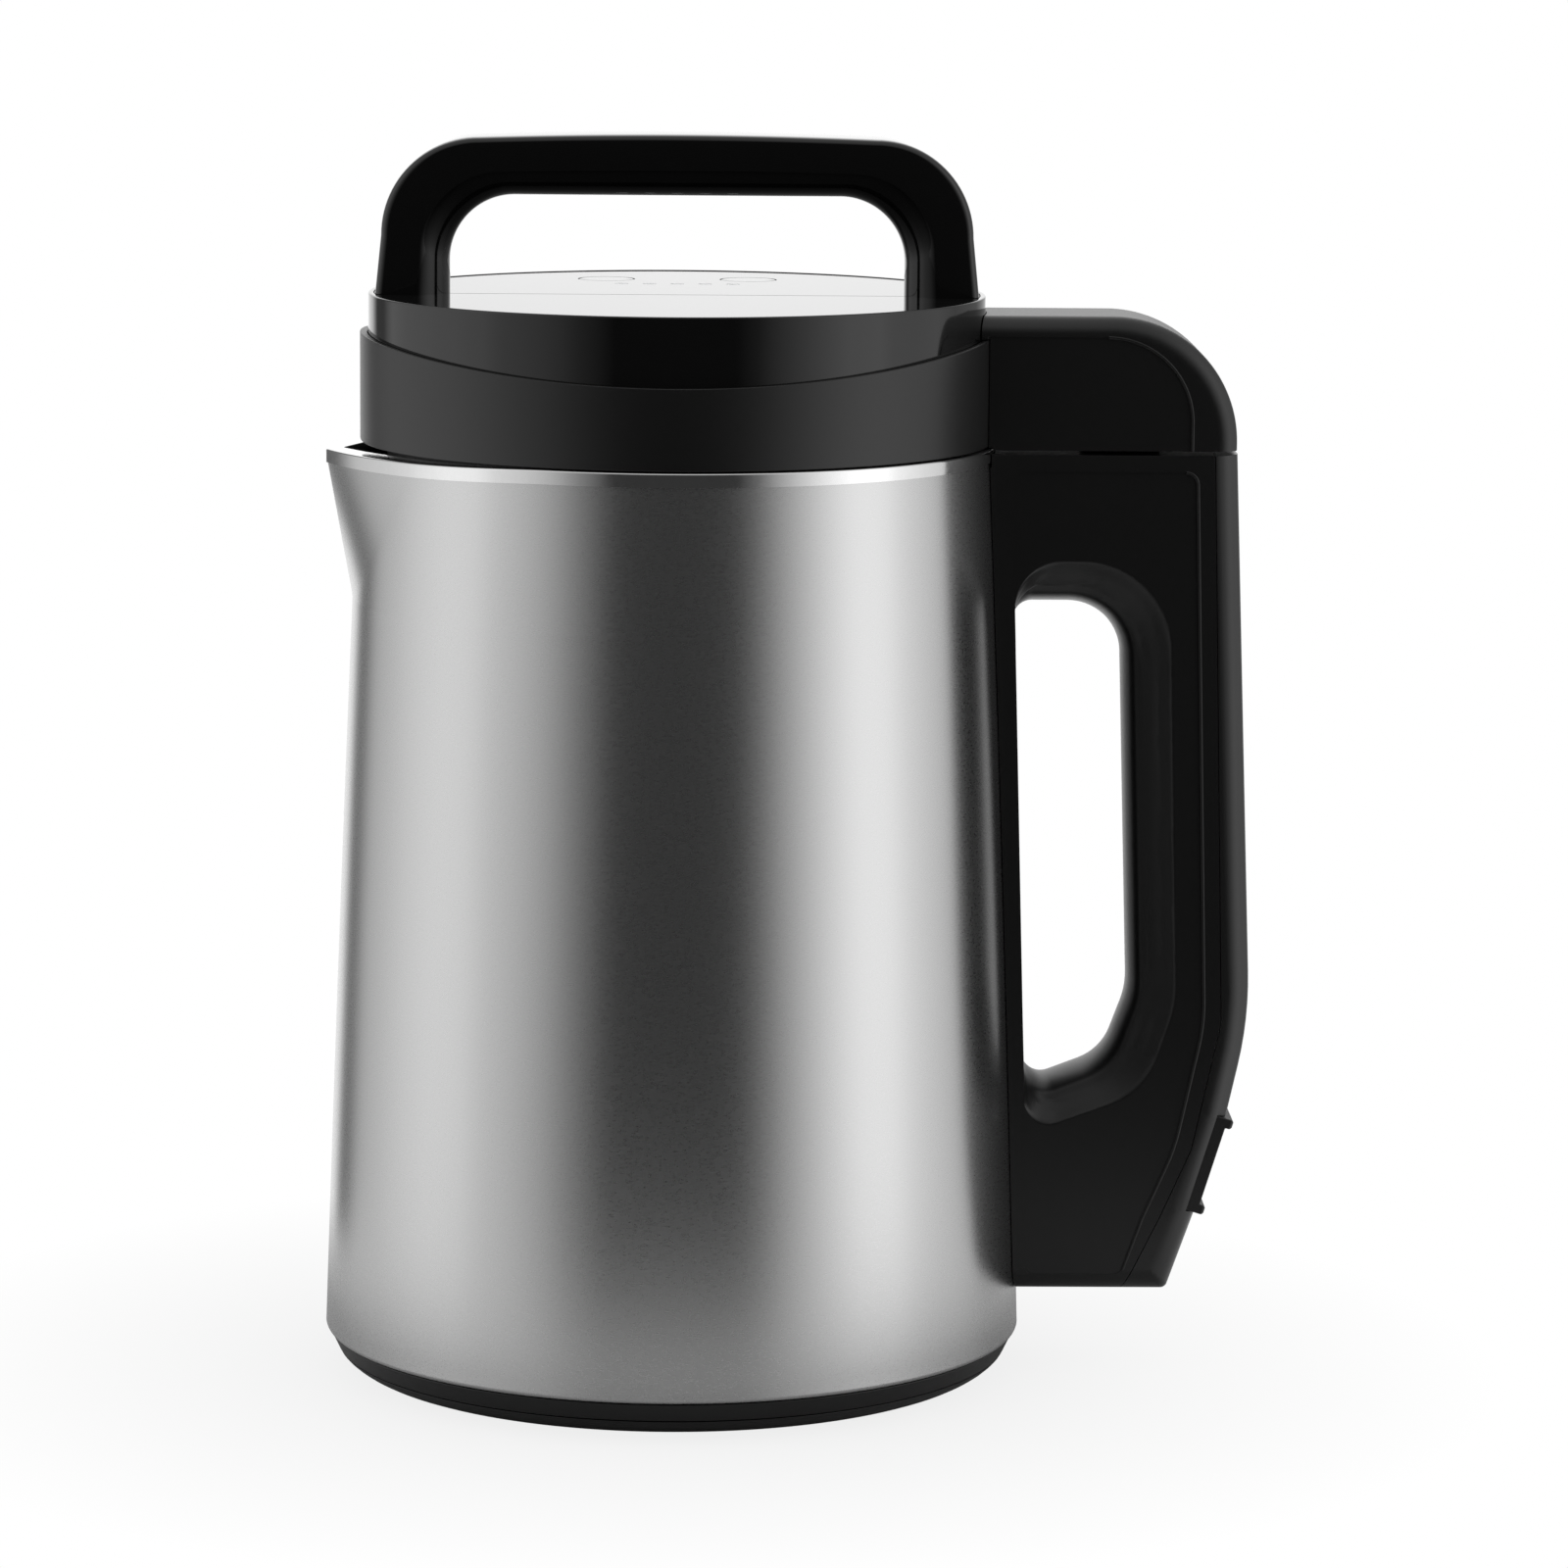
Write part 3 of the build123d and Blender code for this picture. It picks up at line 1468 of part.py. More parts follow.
def lid_wiring():
    """Wire from the coupler plug through the window to the control board."""
    plug_top = arm_base_top_z + 2 * overrun
    window_z = ring_bottom_z + tongue_thickness + wire_radius + fit_gap
    inner_x = board_half_length + 2 * post_margin
    start = pin_places()[0].position.X
    return bent_wire(
        [
            (start, 0, plug_top + fit_gap),
            (start, 0, window_z + wire_radius * 2),
            (collar_radius - overrun, 0, window_z),
            (inner_x, wire_radius * 4, window_z),
            (board_half_length / 2, board_near_y + wire_radius, board_bottom_z - wire_radius * 1.2),
        ],
        wire_radius,
    )


def lid_cup():
    """Cup that closes the lid towards the pot, with screw bosses and a seat for the hub."""
    body = turned(
        (0, cup_bottom_z),
        (cup_radius, cup_bottom_z),
        (cup_radius, cup_flange_bottom_z),
        (cup_radius + cup_flange_width, cup_flange_bottom_z),
        (cup_radius + cup_flange_width, cup_top_z),
        (cup_radius - cup_wall, cup_top_z),
        (cup_radius - cup_wall, cup_inner_z),
        (0, cup_inner_z),
    )
    for place in ring_places(cup_screw_count, cup_boss_circle, 180 / cup_screw_count):
        body += place * disc(cup_boss_radius, cup_inner_z, cup_top_z)
        body -= place * disc(screw_radius + running_gap, cup_top_z - screw_length, cup_top_z + overrun)
    low = cup_bottom_z - overrun
    high = cup_inner_z + overrun
    body -= disc(hub_spigot_radius + running_gap, low, high)
    return body - Pos(probe_x, 0, 0) * disc(probe_radius + running_gap, low, high)


def column_hub():
    """Hub under the cup, with a spigot through its floor, for the lower bearing and the column."""
    body = disc(hub_radius, hub_bottom_z, cup_bottom_z - running_gap)
    body += disc(hub_spigot_radius, cup_bottom_z - running_gap, cup_inner_z)
    body -= disc(column_radius + running_gap, hub_bottom_z - overrun, bearing_seat_z - base_wall)
    body -= disc(bearing_radius + running_gap, bearing_seat_z, cup_inner_z + overrun)
    return body - disc(shaft_radius + slip_gap, hub_bottom_z, cup_inner_z + overrun)


def lid_seal():
    """Silicone ring between the cup's flange and the pot's rim."""
    inner = cup_radius + fit_gap
    outer = collar_inner_radius - fit_gap
    return tube(outer, inner, cup_flange_bottom_z - fit_gap - seal_height, cup_flange_bottom_z - fit_gap)


def control_board():
    """Circuit board under the panel, on its posts."""
    half = board_half_length
    return block(-half, half, board_near_y, board_far_y, board_bottom_z, board_top_z)


def key_switches():
    """A small switch under each button."""
    half = switch_size / 2
    switch = block(-half, half, -half, half, board_top_z, board_top_z + switch_height)
    return Compound([place * switch for place in button_places()])


def motor_can():
    """Steel can of the motor, open at the top, with a hole in its floor for the bearing."""
    low = cup_inner_z
    body = tube(can_radius, can_radius - can_wall, low, can_top_z)
    return body + tube(can_radius - can_wall / 2, can_floor_hole, low, low + can_wall)


def motor_magnets():
    """Two curved magnets against the can's wall."""
    outer = can_radius - can_wall - running_gap
    middle_z = core_bottom_z + core_height / 2
    low = middle_z - magnet_height / 2
    section = make_face(
        Polyline(
            (magnet_inner_radius, low),
            (outer, low),
            (outer, low + magnet_height),
            (magnet_inner_radius, low + magnet_height),
            close=True,
        )
    )
    arc = revolve(Plane.XZ * section, Axis.Z, magnet_angle)
    return Compound([Rot(0, 0, turn - magnet_angle / 2) * arc for turn in (0, 180)])


def holder_low_z():
    """Lower edge of the brush holders."""
    return core_top_z + winding_height + fit_gap * 2


def motor_end_cap():
    """Top cap of the motor with the upper bearing's seat and two brush holders."""
    boss_radius_here = upper_bearing_radius + end_cap_boss_wall
    seat_z = cap_top_z - upper_bearing_height
    body = disc(can_radius, can_top_z, cap_top_z)
    body += disc(boss_radius_here, seat_z - holder_wall, can_top_z)
    half = brush_width / 2 + holder_wall
    inner = commutator_radius + holder_wall
    for side in (-1, 1):
        near, far = sorted((side * inner, side * (inner + brush_length)))
        body += block(near, far, -half, half, holder_low_z(), can_top_z)
        near, far = sorted((side * (inner - overrun), side * (inner + brush_length - holder_wall)))
        low = holder_low_z() + holder_wall - running_gap
        slot = brush_width / 2 + running_gap
        body -= block(near, far, -slot, slot, low, low + brush_width + 2 * running_gap)
    body -= disc(upper_bearing_radius + running_gap, seat_z, cap_top_z + overrun)
    body -= disc(shaft_radius + slip_gap, seat_z - 2 * overrun, cap_top_z)
    hole_low = holder_low_z() - overrun
    return body - disc(commutator_radius + slip_gap, hole_low, commutator_top_z() + slip_gap)


def commutator_top_z():
    """Upper end of the commutator, just below the bearing's boss."""
    return core_top_z + winding_height + commutator_height


def carbon_brushes():
    """Two brushes in their holders, just clear of the commutator."""
    low = holder_low_z() + holder_wall
    half = brush_width / 2
    inner = commutator_radius + running_gap
    blocks = []
    for side in (-1, 1):
        near, far = sorted((side * (inner + running_gap), side * (inner + brush_length - holder_wall)))
        body = block(near, far, -half, half, low, low + brush_width)
        blocks.append(body - disc(inner, low - overrun, low + brush_width + overrun))
    return Compound(blocks)


def bearing(radius, low, height):
    """Ball bearing as one ring with a groove in each face."""
    body = tube(radius, shaft_radius + running_gap, low, low + height)
    wall = (radius - shaft_radius) / 3
    groove = running_gap * 8
    for face_low in (low - groove, low + height - groove):
        body -= tube(radius - wall, shaft_radius + wall, face_low, face_low + 2 * groove)
    return body


def upper_bearing():
    """Bearing in the motor's end cap."""
    height = upper_bearing_height - fit_gap
    return bearing(upper_bearing_radius, cap_top_z - upper_bearing_height, height)


def column_tube():
    """Steel tube that carries the shaft down into the pot."""
    high = bearing_seat_z - base_wall - fit_gap
    return tube(column_radius, column_radius - column_wall, column_bottom_z, high)


def column_bush():
    """Sintered bush for the shaft near the column's lower end."""
    low = column_bottom_z + seal_lip_height + fit_gap
    outer = column_radius - column_wall - running_gap
    return tube(outer, shaft_radius + running_gap, low, low + bush_height)


def shaft_seal():
    """Lip seal that closes the column's lower end."""
    outer = column_radius - column_wall - running_gap
    return tube(outer, shaft_radius + seat_gap, column_bottom_z, column_bottom_z + seal_lip_height)


def overfill_probe():
    """Steel rod that tells the controls when foam reaches the lid."""
    low = cup_bottom_z - probe_length
    collar = disc(probe_collar_radius, cup_bottom_z - probe_collar_height, cup_bottom_z)
    rod = disc(probe_radius, low, cup_inner_z + probe_collar_height)
    return Pos(probe_x, 0, 0) * (rod + collar)


def motor_shaft():
    """Long shaft from the fan down to the blade, with a thinner threaded end."""
    thread = disc(thread_radius, shaft_bottom_z, shaft_shoulder_z)
    return disc(shaft_radius, shaft_shoulder_z, shaft_top_z) + thread


def rotor_core():
    """Slotted stack of laminations."""
    body = tube(core_radius, shaft_radius + running_gap, core_bottom_z, core_top_z)
    high = core_top_z + overrun
    low = core_bottom_z - overrun
    inner = core_radius - slot_mouth - slot_depth
    for place in ring_places(core_slots, 0, 0):
        mouth_x = core_radius - slot_mouth - overrun
        body -= place * block(mouth_x, core_radius + overrun, -slot_mouth / 2, slot_mouth / 2, low, high)
        body -= place * block(inner, core_radius - slot_mouth, -slot_width / 2, slot_width / 2, low, high)
    return body


def rotor_winding():
    """End turns of the winding above and below the core, and the wire in each slot."""
    inner = shaft_radius + 2 * slip_gap
    gap = running_gap
    top = tube(winding_radius, inner, core_top_z + gap, core_top_z + winding_height)
    bottom = tube(winding_radius, inner, core_bottom_z - winding_height, core_bottom_z - gap)
    body = top + bottom
    slot_low = core_radius - slot_mouth - slot_depth + gap
    half = slot_width / 2 - gap
    for place in ring_places(core_slots, 0, 0):
        body += place * block(slot_low, winding_radius, -half, half, core_bottom_z - gap, core_top_z + gap)
    return body


def commutator():
    """Copper commutator between the winding and the upper bearing."""
    low = core_top_z + winding_height + running_gap
    return tube(commutator_radius, shaft_radius + running_gap, low, commutator_top_z())


def cooling_fan():
    """Radial fan on top of the motor: a plate, a hub and standing blades."""
    high = fan_bottom_z + fan_height
    body = disc(fan_radius, fan_bottom_z, fan_bottom_z + fan_plate)
    body += disc(fan_hub_radius, fan_bottom_z, high)
    half = fan_blade_thickness / 2
    for place in ring_places(fan_blades, 0, 0):
        body += place * block(fan_hub_radius - half, fan_radius - half, -half, half, fan_bottom_z, high)
    return body - disc(shaft_radius + running_gap, fan_bottom_z - overrun, high + overrun)


def blade():
    """Four-winged blade, two wings bent up and two bent down."""
    low = shaft_shoulder_z - blade_thickness
    body = disc(blade_hub_radius, low, shaft_shoulder_z)
    root = blade_hub_radius - blade_thickness
    for index in range(wing_count):
        outline = make_face(
            Polyline(
                (0, -wing_root_width / 2),
                (wing_length, -wing_root_width / 2),
                (wing_length + blade_thickness, wing_tip_width - wing_root_width / 2),
                (0, wing_root_width / 2),
                close=True,
            )
        )
        wing = extrude(outline, blade_thickness)
        bend = wing_bend if index % 2 else -wing_bend
        body += Rot(0, 0, 360 / wing_count * index) * Pos(root, 0, low) * Rot(0, bend, 0) * wing
    body -= disc(thread_radius + running_gap, low - 2 * overrun, shaft_shoulder_z)
    return body - disc(shaft_radius + running_gap, shaft_shoulder_z, shaft_shoulder_z + wing_length)


def blade_nut():
    """Domed nut that holds the blade to the shaft."""
    high = shaft_shoulder_z - blade_thickness - running_gap
    flats = RegularPolygon(nut_flats / 2, 6, major_radius=False)
    body = extrude(Plane.XY.offset(high - nut_height) * flats, nut_height)
    body += disc(nut_flats / 2, shaft_bottom_z - blade_thickness, high - nut_height)
    return body - disc(thread_radius + running_gap, shaft_bottom_z - running_gap, high + overrun)


pieces = {
    "outer_shell": outer_shell(),
    "inner_pot": inner_pot(),
    "pot_floor": pot_floor(),
    "base_ring": base_ring(),
    "base_cover": base_cover(),
    "rubber_feet": rubber_feet(),
    "base_screws": base_screws(),
    "heater_plate": heater_plate(),
    "heating_element": heating_element(),
    "thermostat": thermostat(),
    "temperature_sensor": temperature_sensor(),
    "thermal_fuse": thermal_fuse(),
    "heater_bracket": heater_bracket(),
    "handle_body": handle_body(),
    "handle_cover": handle_cover(),
    "handle_brackets": handle_brackets(),
    "handle_fixings": handle_fixings(),
    "mains_inlet": mains_inlet(),
    "inlet_pins": inlet_pins(),
    "connector_socket": connector_socket(),
    "socket_contacts": socket_contacts(),
    "jug_wiring": jug_wiring(),
    "lid_collar": lid_collar(),
    "lid_ring": lid_ring(),
    "top_plate": top_plate(),
    "control_panel": control_panel(),
    "indicator_lenses": indicator_lenses(),
    "start_button": button_places()[1] * push_button(),
    "mode_button": button_places()[0] * push_button(),
    "lid_handle": lid_handle(),
    "lid_handle_screws": lid_handle_screws(),
    "lid_arm": lid_arm(),
    "arm_base": arm_base(),
    "arm_screws": arm_screws(),
    "plug_block": plug_block(),
    "plug_pins": plug_pins(),
    "lid_wiring": lid_wiring(),
    "lid_cup": lid_cup(),
    "column_hub": column_hub(),
    "lid_seal": lid_seal(),
    "lid_screws": lid_screws(),
    "control_board": control_board(),
    "key_switches": key_switches(),
    "motor_can": motor_can(),
    "motor_magnets": motor_magnets(),
    "motor_end_cap": motor_end_cap(),
    "carbon_brushes": carbon_brushes(),
    "upper_bearing": upper_bearing(),
    "lower_bearing": bearing(bearing_radius, bearing_seat_z, bearing_height),
    "column_tube": column_tube(),
    "column_bush": column_bush(),
    "shaft_seal": shaft_seal(),
    "overfill_probe": overfill_probe(),
    "motor_shaft": motor_shaft(),
    "rotor_core": rotor_core(),
    "rotor_winding": rotor_winding(),
    "commutator": commutator(),
    "cooling_fan": cooling_fan(),
    "blade": blade(),
    "blade_nut": blade_nut(),
}

for piece_name, piece_shape in pieces.items():
    save(piece_name, piece_shape)
    print(piece_name, round(piece_shape.volume), "mm3")
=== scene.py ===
# %% [markdown]
# # A jug soup maker
# The real object is a tapered steel jug with a pouring spout and a moulded side handle. A motor
# lid with a bow handle sits on it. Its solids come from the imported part, in metres, with the jug's
# axis on Z and its feet at z = 0. They could all be rendered as they come, but their faces are
# coarse and their edges bare. So the ones that hardly show keep their mesh and get a finish, and
# the ones that the eye reads first are built again here with finer faces.

import json
from math import atan2, cos, pi, radians, sin, sqrt

import bmesh
import bpy
from mathutils import Matrix, Vector


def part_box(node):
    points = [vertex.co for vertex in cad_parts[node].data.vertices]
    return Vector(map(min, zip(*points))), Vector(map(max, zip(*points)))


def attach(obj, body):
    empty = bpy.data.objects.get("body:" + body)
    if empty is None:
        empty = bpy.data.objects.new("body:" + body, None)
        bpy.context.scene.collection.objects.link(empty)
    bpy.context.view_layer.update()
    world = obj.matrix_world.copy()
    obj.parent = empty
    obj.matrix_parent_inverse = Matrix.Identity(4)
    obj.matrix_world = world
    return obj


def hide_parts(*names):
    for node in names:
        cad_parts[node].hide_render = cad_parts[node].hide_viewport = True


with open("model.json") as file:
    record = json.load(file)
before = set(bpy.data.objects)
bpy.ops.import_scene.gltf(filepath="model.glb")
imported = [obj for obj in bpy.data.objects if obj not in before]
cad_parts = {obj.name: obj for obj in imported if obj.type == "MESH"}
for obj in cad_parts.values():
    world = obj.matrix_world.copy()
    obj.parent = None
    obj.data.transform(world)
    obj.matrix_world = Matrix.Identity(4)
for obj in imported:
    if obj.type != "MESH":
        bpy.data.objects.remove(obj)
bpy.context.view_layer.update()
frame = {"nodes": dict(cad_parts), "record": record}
nodes = frame["nodes"]

# %% [markdown]
# ## Camera
# The photograph was taken with a long lens from a little above the rim. A camera could be placed
# by eye, but then the render and the photograph couldn't be laid over each other. So its lens and
# place were found by fitting the circles of the rim, the ring and the base. The long lens keeps
# the jug's sides from bending.

# %% Place the camera
def new_object(name, data):
    """Object for a mesh or a camera, put in the scene."""
    made = bpy.data.objects.new(name, data)
    bpy.context.scene.collection.objects.link(made)
    return made


def place_camera(place, yaw, pitch, roll, lens):
    """Camera at a place, turned by three angles in degrees: yaw to +X, pitch down, roll."""
    data = bpy.data.cameras.new("camera")
    data.lens = lens
    data.sensor_width = 36
    data.clip_end = 100
    camera = new_object("camera", data)
    turn = Matrix.Rotation(radians(-yaw), 4, "Z") @ Matrix.Rotation(radians(90 - pitch), 4, "X")
    camera.matrix_world = Matrix.Translation(place) @ turn @ Matrix.Rotation(radians(roll), 4, "Z")
    bpy.context.scene.camera = camera
    return camera


camera = place_camera((0, -1.54199, 0.38909), yaw=1.015, pitch=8.911, roll=0.46, lens=143.366)
print("camera at", [round(v, 3) for v in camera.location], "lens", round(camera.data.lens, 1), "mm")

# %% [markdown]
# ## Helpers for materials
# Hex colours are written as they look on a screen, and Blender works with linear light, so one
# function turns the one into the other. Nodes could be added line by line, but every material
# repeats the same three moves: add a node, set its values, join its links. One function does
# them, so each material below reads as a list of its nodes.

# %% Colour and node helpers
def linear(code):
    """Linear colour with alpha from a hex code such as "#c8c8c6"."""
    shares = [int(code[i:i + 2], 16) / 255 for i in (1, 3, 5)]
    return [c / 12.92 if c <= 0.04045 else ((c + 0.055) / 1.055) ** 2.4 for c in shares] + [1.0]


def add(tree, kind, settings=None, links=None):
    """Add one node. Settings are its own fields, links are socket values or sockets to join."""
    made = tree.nodes.new(kind)
    for key, value in (settings or {}).items():
        setattr(made, key, value)
    for key, value in (links or {}).items():
        if isinstance(value, bpy.types.NodeSocket):
            tree.links.new(value, made.inputs[key])
        else:
            made.inputs[key].default_value = value
    return made


def new_material(name):
    """Empty node material and its tree."""
    material = bpy.data.materials.new(name)
    material.use_nodes = True
    material.node_tree.nodes.clear()
    return material, material.node_tree


print("mid grey as light:", round(linear("#808080")[0], 3))

# %% [markdown]
# ## Light
# The photograph has a white ground, one soft light on each side and nothing bright behind the
# camera. Steel and gloss plastic show that room as soft upright bands. Lamps and cards could make
# the bands, but each would have to be moved to shift one edge. Here the world's light is written
# as a ramp of strengths by direction, so one number shifts an edge. 0 degrees is towards the
# camera, and plus is to the right. Behind the jug the ramp is the white ground, so steel and gloss
# show that too. The lens and clear parts see plain white all round.

# %% List the bands of light
BANDS = [
    (-180, 1.6), (-157, 1.4),                                                # white ground
    (-149, 0.15), (-140, 0.2),                                               # dark strip
    (-131, 0.8), (-119, 0.95), (-106, 1.2), (-90, 1.4), (-76, 1.35),         # left light
    (-67, 1.05), (-59, 0.95), (-51, 0.8), (-43, 0.6), (-36, 0.36), (-29, 0.2),
    (-23, 0.05), (22, 0.05),                                                 # the dark middle
    (30, 0.22), (36, 0.5), (43, 0.8), (50, 1.1), (58, 1.45),
    (66, 1.75), (80, 1.75), (87, 1.4), (99, 1.15), (112, 0.95),              # right light
    (125, 0.5), (148, 0.35), (166, 0.9),                                     # dim strip
    (172, 1.6), (180, 1.6),                                                  # white ground
]
CROWN_STRENGTH = 0.9
CROWN_FROM, CROWN_FULL = 0.5, 0.85
print(len(BANDS), "bands of light, the strongest", max(strength for _, strength in BANDS))

# %% Light the room
def light_world(bands):
    """World lit by bands of (degrees, strength) round Z, with an even crown overhead."""
    world = bpy.data.worlds.new("studio")
    bpy.context.scene.world = world
    world.use_nodes = True
    tree = world.node_tree
    tree.nodes.clear()
    place = add(tree, "ShaderNodeTexCoord")
    axes = add(tree, "ShaderNodeSeparateXYZ", links={0: place.outputs["Generated"]})
    back = add(tree, "ShaderNodeMath", {"operation": "MULTIPLY"}, {0: axes.outputs["Y"], 1: -1.0})
    turn = add(tree, "ShaderNodeMath", {"operation": "ARCTAN2"},
               {0: axes.outputs["X"], 1: back.outputs[0]})
    share = add(tree, "ShaderNodeMapRange",
                links={"Value": turn.outputs[0], "From Min": -pi, "From Max": pi})
    ramp = add(tree, "ShaderNodeValToRGB", links={0: share.outputs[0]})
    strongest = max(strength for _, strength in bands)
    stops = ramp.color_ramp.elements
    while len(stops) < len(bands):
        stops.new(0.5)
    for stop, (angle, strength) in zip(stops, sorted(bands)):
        stop.position = (angle + 180) / 360
        stop.color = [strength / strongest] * 3 + [1]
    level = add(tree, "ShaderNodeMath", {"operation": "MULTIPLY"},
                {0: ramp.outputs[0], 1: strongest})
    height = add(tree, "ShaderNodeMapRange", links={
        "Value": axes.outputs["Z"], "From Min": CROWN_FROM, "From Max": CROWN_FULL})
    mixed = add(tree, "ShaderNodeMix",
                links={0: height.outputs[0], 2: level.outputs[0], 3: CROWN_STRENGTH})
    room = add(tree, "ShaderNodeBackground", links={"Strength": mixed.outputs[0]})
    white = add(tree, "ShaderNodeBackground", links={"Color": (1, 1, 1, 1), "Strength": 1.0})
    path = add(tree, "ShaderNodeLightPath")
    clear = add(tree, "ShaderNodeMath", {"operation": "MAXIMUM"},
                {0: path.outputs["Is Camera Ray"], 1: path.outputs["Is Transmission Ray"]})
    choice = add(tree, "ShaderNodeMixShader",
                 links={0: clear.outputs[0], 1: room.outputs[0], 2: white.outputs[0]})
    add(tree, "ShaderNodeOutputWorld", links={"Surface": choice.outputs[0]})


light_world(BANDS)
bpy.context.scene.view_settings.view_transform = "Standard"
print("world:", len(bpy.context.scene.world.node_tree.nodes), "nodes")

# %% [markdown]
# ## Table
# The jug needs a ground that takes a soft shadow, so that it doesn't float. A large white floor
# would do that, but the steel's dark middle would mirror it as a grey haze. So the table is a small
# disc. Near the jug it is white laminate, and towards its rim it fades into the white ground: for
# the lens a little at a time, and for the mirror image in the steel only far out.

# %% Lay the table
MM = 0.001
TABLE_RADIUS = 220 * MM
SHADE_FROM, SHADE_TO, SHADE_GLOW = 0.35, 0.95, 0.84
MIRROR_FROM = 0.6


def table_material(rim):
    """White laminate with a soft shadow near the jug and a rim that can't be seen."""
    material, tree = new_material("white_laminate")
    board = add(tree, "ShaderNodeBsdfDiffuse", links={"Color": linear("#c8c8c8")})
    glow = add(tree, "ShaderNodeEmission", links={"Color": (1, 1, 1, 1), "Strength": 1.0})
    place = add(tree, "ShaderNodeTexCoord")
    far = add(tree, "ShaderNodeVectorMath", {"operation": "LENGTH"}, {0: place.outputs["Object"]})
    fade = add(tree, "ShaderNodeMapRange", links={
        "Value": far.outputs["Value"], "From Min": rim * SHADE_FROM, "From Max": rim * SHADE_TO,
        "To Min": SHADE_GLOW, "To Max": 1.0})
    mirrored = add(tree, "ShaderNodeMapRange", links={
        "Value": far.outputs["Value"], "From Min": rim * MIRROR_FROM, "From Max": rim})
    path = add(tree, "ShaderNodeLightPath")
    clear = add(tree, "ShaderNodeMath", {"operation": "MAXIMUM"},
                {0: path.outputs["Is Camera Ray"], 1: path.outputs["Is Transmission Ray"]})
    seen = add(tree, "ShaderNodeMath", {"operation": "MULTIPLY"},
               {0: clear.outputs[0], 1: fade.outputs[0]})
    gloss = add(tree, "ShaderNodeMath", {"operation": "MULTIPLY"},
                {0: path.outputs["Is Glossy Ray"], 1: mirrored.outputs[0]})
    share = add(tree, "ShaderNodeMath", {"operation": "MAXIMUM"},
                {0: seen.outputs[0], 1: gloss.outputs[0]})
    mix = add(tree, "ShaderNodeMixShader",
              links={0: share.outputs[0], 1: board.outputs[0], 2: glow.outputs[0]})
    add(tree, "ShaderNodeOutputMaterial", links={"Surface": mix.outputs[0]})
    return material


def add_table(radius, material):
    """Round table top with the world's white beyond it."""
    mesh = bpy.data.meshes.new("table")
    shape = bmesh.new()
    bmesh.ops.create_circle(shape, cap_ends=True, segments=96, radius=radius)
    shape.to_mesh(mesh)
    shape.free()
    mesh.materials.append(material)
    table = new_object("table", mesh)
    return table


table = add_table(TABLE_RADIUS, table_material(TABLE_RADIUS))
print("table", round(table.dimensions.x, 2), "m across")

# %% [markdown]
# ## Finishes
# A picture of each surface could be wrapped round it, but a pattern made by nodes needs no file
# and has a real size. Each finish starts from its real material and how its surface was made. One
# function makes the ones that differ only in colour, gloss and grain: a noise pattern with a grain
# in millimetres drives a slight change of colour and roughness and a fine bump. A stretch above 1
# draws the grain out along one axis, as rolling or turning does. Steel that is brushed round the
# jug also spreads its gloss up and down, across the brush lines, and keeps it sharp sideways.

# %% Write the finish that all share
GRAIN_DETAIL, GRAIN_ROUGHNESS = 3.0, 0.55
GRAIN_LOW, GRAIN_HIGH = 0.3, 0.7
ACROSS_BRUSH = 0.25


def moulded(name, dark, light, rough, grain, bump, metallic=0.0, stretch=(1, 1, 1), drawn=0.0):
    """Material with a grain. Grain and bump are millimetres, rough is (least, most), and drawn
    widens the gloss across brush lines that run round Z."""
    material, tree = new_material(name)
    place = add(tree, "ShaderNodeTexCoord")
    mapped = add(tree, "ShaderNodeMapping", links={
        "Vector": place.outputs["Object"], "Scale": [1 / (grain * MM * s) for s in stretch]})
    noise = add(tree, "ShaderNodeTexNoise", links={
        "Vector": mapped.outputs[0], "Scale": 1.0, "Detail": GRAIN_DETAIL,
        "Roughness": GRAIN_ROUGHNESS})
    tone = add(tree, "ShaderNodeMix", {"data_type": "RGBA"},
               {0: noise.outputs[0], 6: linear(dark), 7: linear(light)})
    gloss = add(tree, "ShaderNodeMapRange", links={
        "Value": noise.outputs[0], "From Min": GRAIN_LOW, "From Max": GRAIN_HIGH,
        "To Min": rough[0], "To Max": rough[1]})
    relief = add(tree, "ShaderNodeBump", links={
        "Height": noise.outputs[0], "Distance": bump * MM, "Strength": 1.0})
    shader = add(tree, "ShaderNodeBsdfPrincipled", links={
        "Base Color": tone.outputs[2], "Roughness": gloss.outputs[0], "Normal": relief.outputs[0],
        "Metallic": metallic, "Anisotropic": drawn, "Anisotropic Rotation": ACROSS_BRUSH})
    if drawn:
        along = add(tree, "ShaderNodeTangent", {"direction_type": "RADIAL", "axis": "Z"})
        tree.links.new(along.outputs[0], shader.inputs["Tangent"])
    add(tree, "ShaderNodeOutputMaterial", links={"Surface": shader.outputs[0]})
    return material


